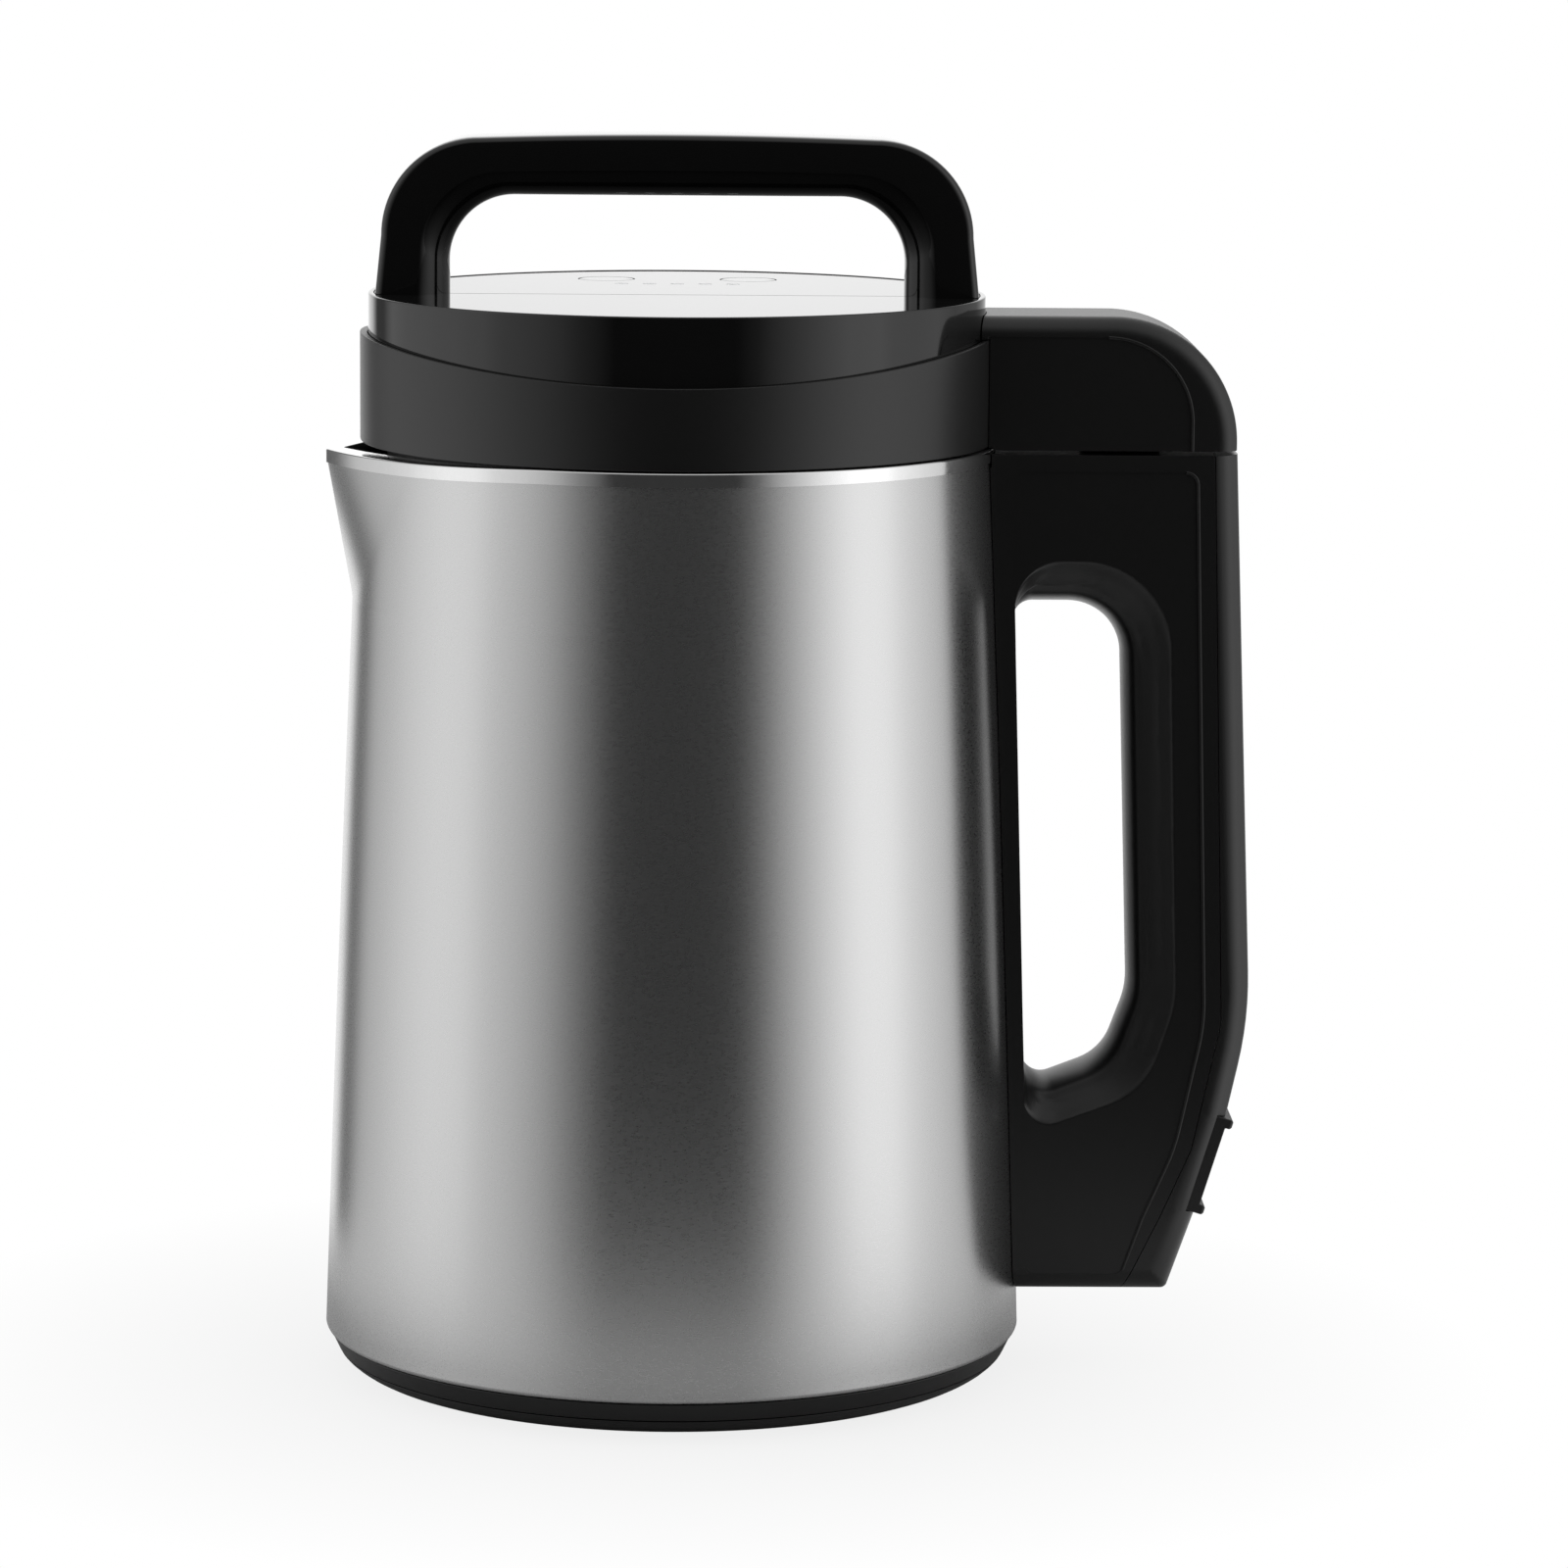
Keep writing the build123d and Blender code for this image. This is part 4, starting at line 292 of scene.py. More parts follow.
# %% Make the finishes
finishes = {
    # Deep drawn stainless steel, satin finished round the jug: soft gloss in upright bands. Its
    # real lines are too fine to show, so the grain is drawn coarser.
    "satin_steel": moulded("brushed_stainless", "#c3c3c3", "#cacaca", (0.26, 0.31), 0.4, 0.0004,
                           1.0, (3, 3, 1), drawn=0.6),
    # Buffed stainless steel: almost a mirror.
    "polished_steel": moulded("buffed_stainless", "#dcdcdc", "#e4e4e4", (0.10, 0.14), 1.5, 0.001,
                              1.0),
    # Polypropylene from a sparked mould: fine even grain, low gloss.
    "matt_plastic": moulded("sparked_polypropylene", "#0f0f0f", "#131313", (0.33, 0.39), 0.35,
                            0.006),
    # The same polypropylene with a finer grain and a lighter colour. The lighter colour is painted
    # light, standing for the light that falls on the handle's spine.
    "handle_trim": moulded("satin_polypropylene_painted_light", "#151515", "#1a1a1a", (0.30, 0.35), 0.3, 0.004),
    # ABS from a polished mould: deep black with sharp reflections.
    "gloss_black": moulded("polished_abs", "#0b0b0b", "#0e0e0e", (0.05, 0.08), 4.0, 0.002),
    # Smoked acrylic sheet: the plates of the lid mirror the room like dark glass.
    "smoked_gloss": moulded("smoked_acrylic", "#161616", "#1a1a1a", (0.04, 0.06), 5.0, 0.0),
    # Grey ABS of the keys, which stand out from the plate by their colour alone.
    "button_plastic": moulded("satin_abs", "#4c4c4c", "#545454", (0.05, 0.08), 0.4, 0.0),
    # Acrylic with a frosted face: it spreads the lamps' light.
    "clear_lens": moulded("frosted_acrylic", "#c9cccf", "#d8dadc", (0.25, 0.35), 0.6, 0.003),
    # Nylon with glass fibre: dull, and stiff enough for a mains inlet.
    "inlet_plastic": moulded("glass_filled_nylon", "#101010", "#161616", (0.40, 0.50), 0.3, 0.01),
    # Phenolic resin: a dull pressed face, almost black.
    "dark_plastic": moulded("phenolic", "#1e1e1e", "#272727", (0.40, 0.55), 0.4, 0.01),
    # Moulded rubber: almost no gloss.
    "rubber": moulded("moulded_rubber", "#141414", "#1a1a1a", (0.70, 0.80), 0.5, 0.02),
    # Silicone of the seals: mid grey with a faint bloom.
    "silicone": moulded("grey_silicone", "#8d8e90", "#989a9c", (0.45, 0.55), 0.8, 0.01),
    # Braided sleeve round the wires: a coarse weave of glass thread.
    "wire_sleeve": moulded("braided_sleeve", "#a9a49a", "#c1bcb1", (0.6, 0.75), 0.5, 0.05),
    # Steel with a zinc coat, as on screws and brackets: pale and slightly mottled.
    "zinc_steel": moulded("zinc_plated_steel", "#a7abb0", "#bcc0c4", (0.25, 0.35), 0.6, 0.004, 1.0),
    # Rolled steel: its grain is drawn out along the rolling.
    "grey_steel": moulded("rolled_steel", "#8c8d90", "#9fa0a3", (0.35, 0.45), 0.8, 0.006, 1.0,
                          (1, 1, 20)),
    # Ground steel of bearings and shaft: bright and even.
    "bearing_steel": moulded("ground_steel", "#b6b8ba", "#c8caca", (0.16, 0.24), 0.4, 0.002, 1.0),
    # Cast aluminium of the heater plate: a sandy skin.
    "aluminium": moulded("cast_aluminium", "#b9babc", "#c9cacc", (0.40, 0.55), 0.7, 0.03, 1.0),
    # Turned brass of pins and contacts: warm yellow with a soft gloss.
    "brass": moulded("turned_brass", "#c8a24e", "#d8b562", (0.22, 0.32), 0.5, 0.003, 1.0),
    # Copper wire under clear enamel: red brown and satin.
    "copper": moulded("enamelled_copper", "#b06a3c", "#c27c4c", (0.25, 0.35), 0.5, 0.02, 1.0),
    # Pressed ferrite of the magnets: dark and dry.
    "magnet": moulded("pressed_ferrite", "#3a3a3c", "#48484a", (0.6, 0.75), 0.4, 0.01),
    # Fibre board under a green coat, which sets it apart from the metal.
    "circuit_board": moulded("coated_fibre_board", "#1d5a34", "#26683e", (0.35, 0.5), 1.0, 0.01),
}
print(len(finishes), "finishes")

# %% [markdown]
# ## Dress the solids
# Each solid of the part names a slot, and each slot has a finish. The finish could be put into the
# mesh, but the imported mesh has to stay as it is. So it goes on the object's own material slot.

# %% Put the finishes on
slot_of = {entry["node"]: entry["material_slot"] for entry in frame["record"]["subparts"]}
for name, solid in nodes.items():
    for holder in solid.material_slots:
        holder.link = "OBJECT"
        holder.material = finishes[slot_of[name]]
print("dressed", len(nodes), "solids")

# %% [markdown]
# ## Fine walls from rows of points
# The steel jug is drawn sheet with a pouring spout pressed into it. Every level cut through it has
# the same outline: a round wall, two hollow flanks and a small round nose. Pressing the spout out
# also pulls the rim down there by about 2.5 mm. The solid could be subdivided, but its triangles
# are long and uneven, and each facet would break a reflection in the steel. So one function writes
# the outline as a row of even points.

# %% Write the outline of a wall with its spout
NOSE_STEPS, FLANK_STEPS, BACK_STEPS = 10, 16, 140
SPREAD_LOW, SPREAD_HIGH = radians(6), radians(35)
PLAIN_TOUCH, PLAIN_NOSE = 0.3, 0.1
shell_low, shell_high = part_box("outer_shell")
FOOT_Z, TOP_Z = shell_low.z, shell_high.z
SPOUT_FOOT_Z = TOP_Z - 36 * MM
SAG_START, SAG_BLEND, SAG_SLOPE = 30 * MM, 12 * MM, 0.052


def spread_points(start, end, steps):
    """Evenly spaced values after start, up to and with end."""
    return [start + (end - start) * k / steps for k in range(1, steps + 1)]


def quarter_turn(steps):
    """Evenly spaced angles from 0 to a quarter turn, with both ends."""
    return [0.0] + spread_points(0, pi / 2, steps)


def sagged(x, z):
    """Height of a point after the rim was pulled down towards the spout, most at its tip."""
    share = min(max((z - SPOUT_FOOT_Z) / (TOP_Z - SPOUT_FOOT_Z), 0.0), 1.0)
    out = max(-x - SAG_START, 0.0)
    return z - SAG_SLOPE * share * out**2 / (out + SAG_BLEND)


def spout_ring(radius, reach, spread, nose, z):
    """Closed row of points at height z: tip of the spout, flank, back of the wall and round."""
    far, near = radius + reach - nose, radius - nose
    shift = (far**2 - near**2) / (2 * (near - far * cos(spread)))
    middle = (shift * cos(spread), -shift * sin(spread))
    touch = atan2(shift * sin(spread), far + shift * cos(spread)) or PLAIN_TOUCH * spread
    flank = radius + shift
    half = [(-radius - reach, 0)]
    half += [(-far - nose * cos(a), nose * sin(a)) for a in spread_points(0, touch, NOSE_STEPS)]
    half += [(middle[0] - flank * cos(a), middle[1] + flank * sin(a))
             for a in spread_points(touch, spread, FLANK_STEPS)]
    half += [(-radius * cos(a), radius * sin(a)) for a in spread_points(spread, pi, BACK_STEPS)]
    other_half = [(x, -y) for x, y in half[-2:0:-1]]
    return [(x, y, sagged(x, z)) for x, y in half + other_half]


def plain_ring(radius, z):
    """The same row where the spout hasn't begun."""
    return spout_ring(radius, 0.0, SPREAD_LOW, radius * PLAIN_NOSE, z)


print("a ring has", len(plain_ring(0.08, 0)), "points")

# %% [markdown]
# ## Skins and settling
# Rows of points, one above the other, become a closed skin of even four-sided faces. A loft or a
# modifier could join them, but a skin of known rows has no surprises at seams. Each finished piece
# is then settled: it gets its material, the body that carries it and the solids it stands for.

# %% Join rows and settle pieces
SHARP = 35


def finish_mesh(name, shape, sharp=SHARP):
    """Object from a bmesh, smooth but for edges sharper than an angle in degrees, if given."""
    mesh = bpy.data.meshes.new(name)
    shape.to_mesh(mesh)
    shape.free()
    mesh.shade_smooth()
    if sharp:
        mesh.set_sharp_from_angle(angle=radians(sharp))
    return new_object(name, mesh)


def skin(name, rows, closed=True, caps=False):
    """Object through rows of points; closed joins the last row to the first, caps fill the ends."""
    shape = bmesh.new()
    rings = [[shape.verts.new(point) for point in row] for row in rows]
    for low, high in zip(rings, rings[1:] + (rings[:1] if closed else [])):
        for k in range(len(low)):
            shape.faces.new((low[k - 1], low[k], high[k], high[k - 1]))
    if caps:
        shape.faces.new(rings[0])
        shape.faces.new(rings[-1])
    bmesh.ops.recalc_face_normals(shape, faces=shape.faces)
    return finish_mesh(name, shape)


def settle(piece, body, slot, *solids):
    """Finish a piece: its material, the body that carries it and the solids it stands for."""
    piece.data.materials.clear()
    piece.data.materials.append(finishes[slot])
    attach(piece, body)
    if solids:
        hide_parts(*solids)
    print(piece.name, len(piece.data.vertices), "points")


# %% [markdown]
# ## Steel shell
# The real sleeve is about 0.8 mm thick. It tapers up to the rim with a slight bow, its lower edge
# is rolled in, and the spout grows out of its last 36 mm. A single surface could pass for it, but
# its edges would look like paper. So its rows run up the outside, over the top edge and down the
# inside, and the wall has its true thickness.

# %% Make the steel shell
WALL = 0.8 * MM
TOP_RADIUS, FOOT_RADIUS = 78.6 * MM, 87.3 * MM
BOW = 0.35 * MM
SPOUT_REACH, SPOUT_NOSE = 7.8 * MM, 6.0 * MM
ROLL, LIP = 1.2 * MM, 2.8 * MM
ROLL_STEPS, OUTSIDE_STEPS, INSIDE_STEPS, SPOUT_STEPS = 8, 60, 30, 40


def shell_radius(z):
    """Outer radius of the round wall: a straight taper with a slight bow."""
    share = (z - FOOT_Z) / (TOP_Z - FOOT_Z)
    return FOOT_RADIUS + (TOP_RADIUS - FOOT_RADIUS) * share + 4 * BOW * share * (1 - share)


def spout_rows(radius_at, reach, nose, low, steps):
    """Rows from a height up to the top edge, over which the spout grows to its reach."""
    rows = []
    for k in range(1, steps + 1):
        share = k / steps
        spread = sqrt(SPREAD_LOW**2 + (SPREAD_HIGH**2 - SPREAD_LOW**2) * share)
        z = low + (TOP_Z - low) * share
        rows.append(spout_ring(radius_at(z), reach * share, spread, nose, z))
    return rows


def wall_side(inset, low, steps):
    """Rows up one side of the sleeve, from its foot to its top edge."""
    def radius_at(z):
        return shell_radius(z) - inset

    rows = [plain_ring(radius_at(z), z) for z in [low] + spread_points(low, SPOUT_FOOT_Z, steps)]
    nose = SPOUT_NOSE - inset
    return rows + spout_rows(radius_at, SPOUT_REACH, nose, SPOUT_FOOT_Z, SPOUT_STEPS)


rolled = [plain_ring(shell_radius(FOOT_Z) - ROLL * (1 - sin(a)), FOOT_Z + ROLL * (1 - cos(a)))
          for a in quarter_turn(ROLL_STEPS)[1:-1]]
lip = [plain_ring(FOOT_RADIUS - LIP, FOOT_Z + WALL), plain_ring(FOOT_RADIUS - LIP, FOOT_Z)]
outside = wall_side(0, FOOT_Z + ROLL, OUTSIDE_STEPS)
inside = wall_side(WALL, FOOT_Z + WALL, INSIDE_STEPS)[::-1]
settle(skin("steel_shell", lip + rolled + outside + inside), "jug", "satin_steel", "outer_shell")

# %% [markdown]
# ## Pot and rim
# The pot hangs inside the sleeve. Its bright rim covers the sleeve's upper edge, and its mouth has
# its own, deeper spout channel. Pot and rim could be two pieces, but a drawn pot has no seam there.
# So one closed skin follows it: up the inside of the pot, over the rolled rim, down the skirt and
# under the flange, then down the outside of the pot.

# %% Make the pot with its rim
pot_low, pot_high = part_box("inner_pot")
RIM_Z = pot_high.z
POT_RADIUS, POT_WALL, POT_CORNER = 72.5 * MM, 0.8 * MM, 12 * MM
POT_REACH, POT_NOSE = 9.7 * MM, 3.0 * MM
POT_SPOUT_Z = TOP_Z - 30 * MM
RIM_OUT, RIM_NOSE = TOP_RADIUS + 0.4 * MM, SPOUT_NOSE + 0.4 * MM
RIM_ROUND, MOUTH_ROUND = 0.5 * MM, 0.35 * MM
SKIRT, PLATE = 1.0 * MM, 1.2 * MM
FLOOR_RADIUS = POT_RADIUS + POT_WALL - POT_CORNER
CORNER_STEPS, SIDE_STEPS, CHANNEL_STEPS, MOUTH_STEPS, RIM_STEPS = 8, 20, 24, 4, 8


def rim_row(inset, z):
    """Row round the rim, moved in from its outer edge."""
    return spout_ring(RIM_OUT - inset, SPOUT_REACH, SPREAD_HIGH, RIM_NOSE - inset, z)


def mouth_row(grow, z):
    """Row round the pot's mouth, moved out into its wall."""
    return spout_ring(POT_RADIUS + grow, POT_REACH, SPREAD_HIGH, POT_NOSE + grow, z)


def pot_side(grow):
    """Rows up one face of the pot's wall, from its floor to the top of the spout channel."""
    corner, radius = POT_CORNER - POT_WALL + grow, POT_RADIUS + grow
    middle_z = pot_low.z + POT_CORNER
    rows = [plain_ring(FLOOR_RADIUS + corner * sin(a), middle_z - corner * cos(a))
            for a in quarter_turn(CORNER_STEPS)]
    rows += [plain_ring(radius, z) for z in spread_points(middle_z, POT_SPOUT_Z, SIDE_STEPS)]
    return rows + spout_rows(lambda z: radius, POT_REACH, POT_NOSE + grow, POT_SPOUT_Z,
                             CHANNEL_STEPS)


mouth_edge = [mouth_row(MOUTH_ROUND * (1 - cos(a)), RIM_Z - MOUTH_ROUND * (1 - sin(a)))
              for a in quarter_turn(MOUTH_STEPS)]
outer_edge = [rim_row(RIM_ROUND * (1 - sin(a)), RIM_Z - RIM_ROUND * (1 - cos(a)))
              for a in quarter_turn(RIM_STEPS)]
skirt = [rim_row(0, TOP_Z), rim_row(SKIRT, TOP_Z), rim_row(SKIRT, RIM_Z - PLATE)]
flange = [mouth_row(POT_WALL, RIM_Z - PLATE)]
pot_rows = pot_side(0) + mouth_edge + outer_edge + skirt + flange + pot_side(POT_WALL)[::-1]
settle(skin("pot_with_rim", pot_rows), "jug", "polished_steel", "inner_pot")

# %% [markdown]
# ## Turned mouldings
# The ring of the lid, the collar under it and the ring under the jug are round all the way, so
# their reflections have to run round without a break. A Screw modifier could turn a profile, but
# the collar's top edge also has to rise in a wave. So each is a short list of corners, which one
# function rounds and turns about the jug's axis in even steps.

# %% Turn the lid's gloss ring
ROUND_STEPS, TURN_STEPS = 5, 256


def rounded_profile(corners):
    """Points of a closed profile; each corner is (radius, height, rounding) in metres."""
    points = []
    for k, (r, z, rounding) in enumerate(corners):
        here = Vector((r, z))
        if rounding == 0:
            points.append(here)
            continue
        before = Vector(corners[k - 1][:2]) - here
        after = Vector(corners[(k + 1) % len(corners)][:2]) - here
        near, far = here + before.normalized() * rounding, here + after.normalized() * rounding
        for t in [step / ROUND_STEPS for step in range(ROUND_STEPS + 1)]:
            points.append(near * (1 - t)**2 + here * 2 * t * (1 - t) + far * t**2)
    return points


def turned(name, corners, count=TURN_STEPS, wave=None):
    """Skin turned about Z. A wave lifts each point of the profile by a height for each x."""
    rows = []
    for point in rounded_profile(corners):
        row = []
        for k in range(count):
            a = 2 * pi * k / count
            x, y = point.x * cos(a), point.x * sin(a)
            row.append((x, y, point.y + (wave(point, x) if wave else 0)))
        rows.append(row)
    return skin(name, rows)


ring_low, ring_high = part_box("lid_ring")
plate_low, plate_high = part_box("top_plate")
RING_OUT, RING_TOP = ring_high.x, ring_high.z
RING_LIP_IN, RING_IN = RING_OUT - 1.4 * MM, RING_OUT - 2.8 * MM
SEAT_IN, SEAT_Z = RING_IN - 3.4 * MM, plate_low.z
SEAT_UNDER = SEAT_Z - 2.5 * MM
ring_corners = [
    (RING_OUT, ring_low.z, 0.0),
    (RING_OUT, RING_TOP, 0.55 * MM),
    (RING_LIP_IN, RING_TOP, 0.25 * MM),
    (RING_LIP_IN, SEAT_Z, 0.0),
    (SEAT_IN, SEAT_Z, 0.2 * MM),
    (SEAT_IN, SEAT_UNDER, 0.2 * MM),
    (RING_IN, SEAT_UNDER, 0.0),
    (RING_IN, ring_low.z, 0.0),
]
settle(turned("gloss_ring", ring_corners), "lid", "gloss_black", "lid_ring")

# %% [markdown]
# ## Collar
# The collar's upper edge is a shallow wave: seen from the front it is an arc of a wide circle that
# rises to both sides. It could be cut from a plain ring with a Boolean, which leaves long thin
# faces along the cut. Here the wave lifts the top of the profile instead, and the faces stay even.

# %% Turn the collar with its wavy edge
collar_low, collar_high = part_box("lid_collar")
COLLAR_OUT = collar_high.x
COLLAR_BORE, COLLAR_IN = COLLAR_OUT - 1.8 * MM, COLLAR_OUT - 2.8 * MM
WAVE_LOW, WAVE_RADIUS = TOP_Z + 23.3 * MM, 430 * MM
LEDGE_TOP, LEDGE_LOW, LEDGE_HOLE = TOP_Z + 14 * MM, TOP_Z + 11 * MM, 38 * MM
WAVE_FROM = LEDGE_TOP + 2 * MM


def collar_wave(point, x):
    """Rise of the collar's upper edge at a distance x from the middle."""
    return WAVE_RADIUS - sqrt(WAVE_RADIUS**2 - x**2) if point.y > WAVE_FROM else 0


collar_corners = [
    (COLLAR_OUT, collar_low.z, 0.4 * MM),
    (COLLAR_OUT, WAVE_LOW, 0.35 * MM),
    (COLLAR_BORE, WAVE_LOW, 0.2 * MM),
    (COLLAR_BORE, LEDGE_TOP, 0.0),
    (LEDGE_HOLE, LEDGE_TOP, 0.0),
    (LEDGE_HOLE, LEDGE_LOW, 0.0),
    (COLLAR_IN, LEDGE_LOW, 0.0),
    (COLLAR_IN, collar_low.z, 0.3 * MM),
]
collar = turned("wave_collar", collar_corners, wave=collar_wave)
settle(collar, "lid", "matt_plastic", "lid_collar")

# %% [markdown]
# ## Base ring
# The jug stands on a black ring that tapers in below the steel and carries a spigot inside it. Its
# solid could stay, but the steel's rolled edge and this ring meet in one fine line, which coarse
# facets would break. So it is turned in the same way.

# %% Turn the base ring
base_low, base_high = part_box("base_ring")
BASE_OUT, BASE_UNDER = base_high.x, base_high.x - 2.2 * MM
BASE_HOLE, BASE_FLOOR_Z = 38 * MM, base_low.z + 2.3 * MM
SPIGOT_OUT = FOOT_RADIUS - LIP - 0.2 * MM
SPIGOT_IN = SPIGOT_OUT - 2.5 * MM
BASE_TOP_Z = FOOT_Z - 0.2 * MM
base_corners = [
    (BASE_HOLE, base_low.z, 0.0),
    (BASE_UNDER, base_low.z, 0.3 * MM),
    (BASE_OUT, BASE_TOP_Z, 0.5 * MM),
    (SPIGOT_OUT, BASE_TOP_Z, 0.0),
    (SPIGOT_OUT, base_high.z, 0.3 * MM),
    (SPIGOT_IN, base_high.z, 0.3 * MM),
    (SPIGOT_IN, BASE_FLOOR_Z, 0.0),
    (BASE_HOLE, BASE_FLOOR_Z, 0.0),
]
settle(turned("foot_ring", base_corners), "jug", "matt_plastic", "base_ring")

# %% [markdown]
# ## Moulded pieces with soft edges
# Every moulded plastic piece has small rounded edges, because a mould can't be sharp. They catch a
# fine line of light, which the eye reads as real plastic. A bump could fake that line, but not the
# outline. So each moulding is a copy of its solid: its loose triangles are merged, flat regions are
# joined, and a bevel rounds the sharp edges. A weighted normal modifier then keeps the flat faces
# flat beside their rounded edges.

# %% Copy a solid and soften its edges
MERGE_DISTANCE, FLAT_ANGLE = 0.002 * MM, 0.2
BEVEL_ANGLE, BEVEL_SEGMENTS = 40, 3


def merged_copy(solid):
    """Editable copy of a solid, with its triangles merged and its flat regions joined."""
    shape = bmesh.new()
    shape.from_mesh(nodes[solid].data)
    bmesh.ops.remove_doubles(shape, verts=shape.verts, dist=MERGE_DISTANCE)
    bmesh.ops.dissolve_limit(shape, angle_limit=radians(FLAT_ANGLE), verts=shape.verts,
                             edges=shape.edges)
    return shape


def bake(piece):
    """Give a piece the mesh that its modifiers make, and take the modifiers away."""
    bpy.context.view_layer.update()
    finished = piece.evaluated_get(bpy.context.evaluated_depsgraph_get())
    mesh = bpy.data.meshes.new_from_object(finished)
    piece.modifiers.clear()
    piece.data = mesh
    return mesh


def softened(name, shape, width, plain=()):
    """Piece with edges rounded by a width in metres; edges between plain points stay."""
    weight = shape.edges.layers.float.new("bevel_weight_edge")
    for edge in shape.edges:
        sharp = edge.calc_face_angle(0) > radians(BEVEL_ANGLE)
        if sharp and not all(vert in plain for vert in edge.verts):
            edge[weight] = 1.0
    piece = finish_mesh(name, shape, sharp=None)
    bevel = piece.modifiers.new("soft_edges", "BEVEL")
    bevel.width = width
    bevel.segments = BEVEL_SEGMENTS
    bevel.limit_method = "WEIGHT"
    bevel.use_clamp_overlap = True
    even = piece.modifiers.new("flat_faces", "WEIGHTED_NORMAL")
    even.mode = "FACE_AREA_WITH_ANGLE"
    even.weight = 100
    bake(piece)
    return piece


print("edges are rounded where two faces meet at more than", BEVEL_ANGLE, "degrees")

# %% [markdown]
# ## Bottom cover
# The cover closes the base from below and shows as the last dark line above the table. Its outer
# edge reaches down almost to the table in the photograph, so the copy's lowest edge is moved down
# by 0.6 mm before it is softened. A new turned piece would lose the cover's screw holes.

# %% Make the bottom cover
COVER_DROP, COVER_WIDTH = 0.6 * MM, 0.5 * MM
COVER_BAND, COVER_RISE = 2 * MM, 1.5 * MM
edge_low, edge_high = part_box("base_cover")
cover_shape = merged_copy("base_cover")
for vert in cover_shape.verts:
    at_edge = vert.co.to_2d().length > edge_high.x - COVER_BAND
    if at_edge and vert.co.z < edge_low.z + COVER_RISE:
        vert.co.z -= COVER_DROP
settle(softened("foot_cover", cover_shape, COVER_WIDTH), "jug", "matt_plastic", "base_cover")

# %% [markdown]
# ## Arm, spine and inlet
# The lid's arm reaches over the handle, the spine closes the handle's back, and the mains inlet
# sits in its heel. Each comes out of a mould of its own. They could be modelled anew, but their
# solids already have the right form, and soft edges are all that they lack.

# %% Soften the arm, the spine and the inlet
for name, solid, body, slot, width in [
    ("arm_moulding", "lid_arm", "lid", "matt_plastic", 0.4 * MM),
    # The spine's finish is the same plastic in a lighter colour: painted light on the spine.
    ("spine_moulding", "handle_cover", "jug", "handle_trim", 0.5 * MM),
    ("inlet_moulding", "mains_inlet", "jug", "inlet_plastic", 0.3 * MM),
]:
    settle(softened(name, merged_copy(solid), width), body, slot, solid)

# %% [markdown]
# ## Jug handle with a full, round grip
# Fingers close round the grip, so the wall of its opening isn't flat from side to side. It swells
# like a barrel and runs into the scooped sides without an edge. The handle could be sculpted, but
# its outline and its flat panels have to stay where they are. The solid has a plain wall in the
# opening, so its copy gets extra rows across that wall, which are then moved onto the round form.

# %% Split the wall of the grip's opening into rows
SIDE_Y, PANEL_Y, SCOOP_DEEP = 17 * MM, 16.6 * MM, 5 * MM
WALL_Y = SIDE_Y - SCOOP_DEEP
WALL_ROWS, CLOSE, ACROSS_WALL = 14, 0.01 * MM, 1.9 * WALL_Y
GRIP_MIDDLE = Vector((98.5, 0, 135)) * MM
GRIP_REACH_X, GRIP_REACH_Z = 28 * MM, 75 * MM


def near_grip(point):
    """Whether a point lies in the region of the grip's opening and its scoop."""
    off = point - GRIP_MIDDLE
    return abs(off.x) < GRIP_REACH_X and abs(off.z) < GRIP_REACH_Z and abs(point.y) < SIDE_Y - CLOSE


def cross_wall(shape):
    """Split the straight lines across the opening's wall into rows; returns their count."""
    crossing = [edge for edge in shape.edges
                if all(abs(abs(v.co.y) - WALL_Y) < CLOSE and near_grip(v.co) for v in edge.verts)
                and edge.calc_length() > ACROSS_WALL]
    bmesh.ops.subdivide_edges(shape, edges=crossing, cuts=WALL_ROWS - 1, use_grid_fill=True)
    shape.normal_update()
    return len(crossing)


grip_shape = merged_copy("handle_body")
print("wall of the opening:", cross_wall(grip_shape), "lines across")

# %% Round the wall and ease its scoop
SWELL, SMOOTH_PASSES = 4.5 * MM, 6
OUTWARD_FROM, FLAT_SIDE, NO_PUSH = -1e-7, 0.9995, 1e-12
EASE_LOW, EASE_HIGH = WALL_Y + 0.05 * MM, PANEL_Y - 0.3 * MM
GRIP_WIDTH = 0.4 * MM


def faces_grip(face):
    """Whether a face belongs to the wall of the opening or to its scoop."""
    centre = face.calc_center_median()
    toward = GRIP_MIDDLE - centre
    outward = face.normal.y * centre.y >= OUTWARD_FROM
    inward = face.normal.x * toward.x + face.normal.z * toward.z > 0
    return outward and inward and abs(face.normal.y) < FLAT_SIDE


def round_move(vert):
    """Shift and new height over the middle plane for a point, or None where nothing moves."""
    sides = [f for f in vert.link_faces if faces_grip(f)] if near_grip(vert.co) else []
    push = -sum((f.normal * f.calc_area() for f in sides), Vector())
    push.y = 0
    if push.length < NO_PUSH:
        return None
    push.normalize()
    level, share = abs(vert.co.y), 1 - max(0, -push.x)
    if level < WALL_Y + CLOSE:
        turn = pi / 2 * min(1, level / WALL_Y)
        height = (1 - share) * level + share * WALL_Y * sin(turn)
        return push * SWELL * share * (1 - cos(turn)), height
    if level < PANEL_Y - 2 * CLOSE:
        grown = sqrt(max(0, 1 - ((SIDE_Y - level) / SCOOP_DEEP)**2))
        sunk = (1 - grown)**2 * (1 + 2 * grown)
        return push * SWELL * share * (1 - grown), WALL_Y + (PANEL_Y - WALL_Y) * (1 - sunk)
    return None


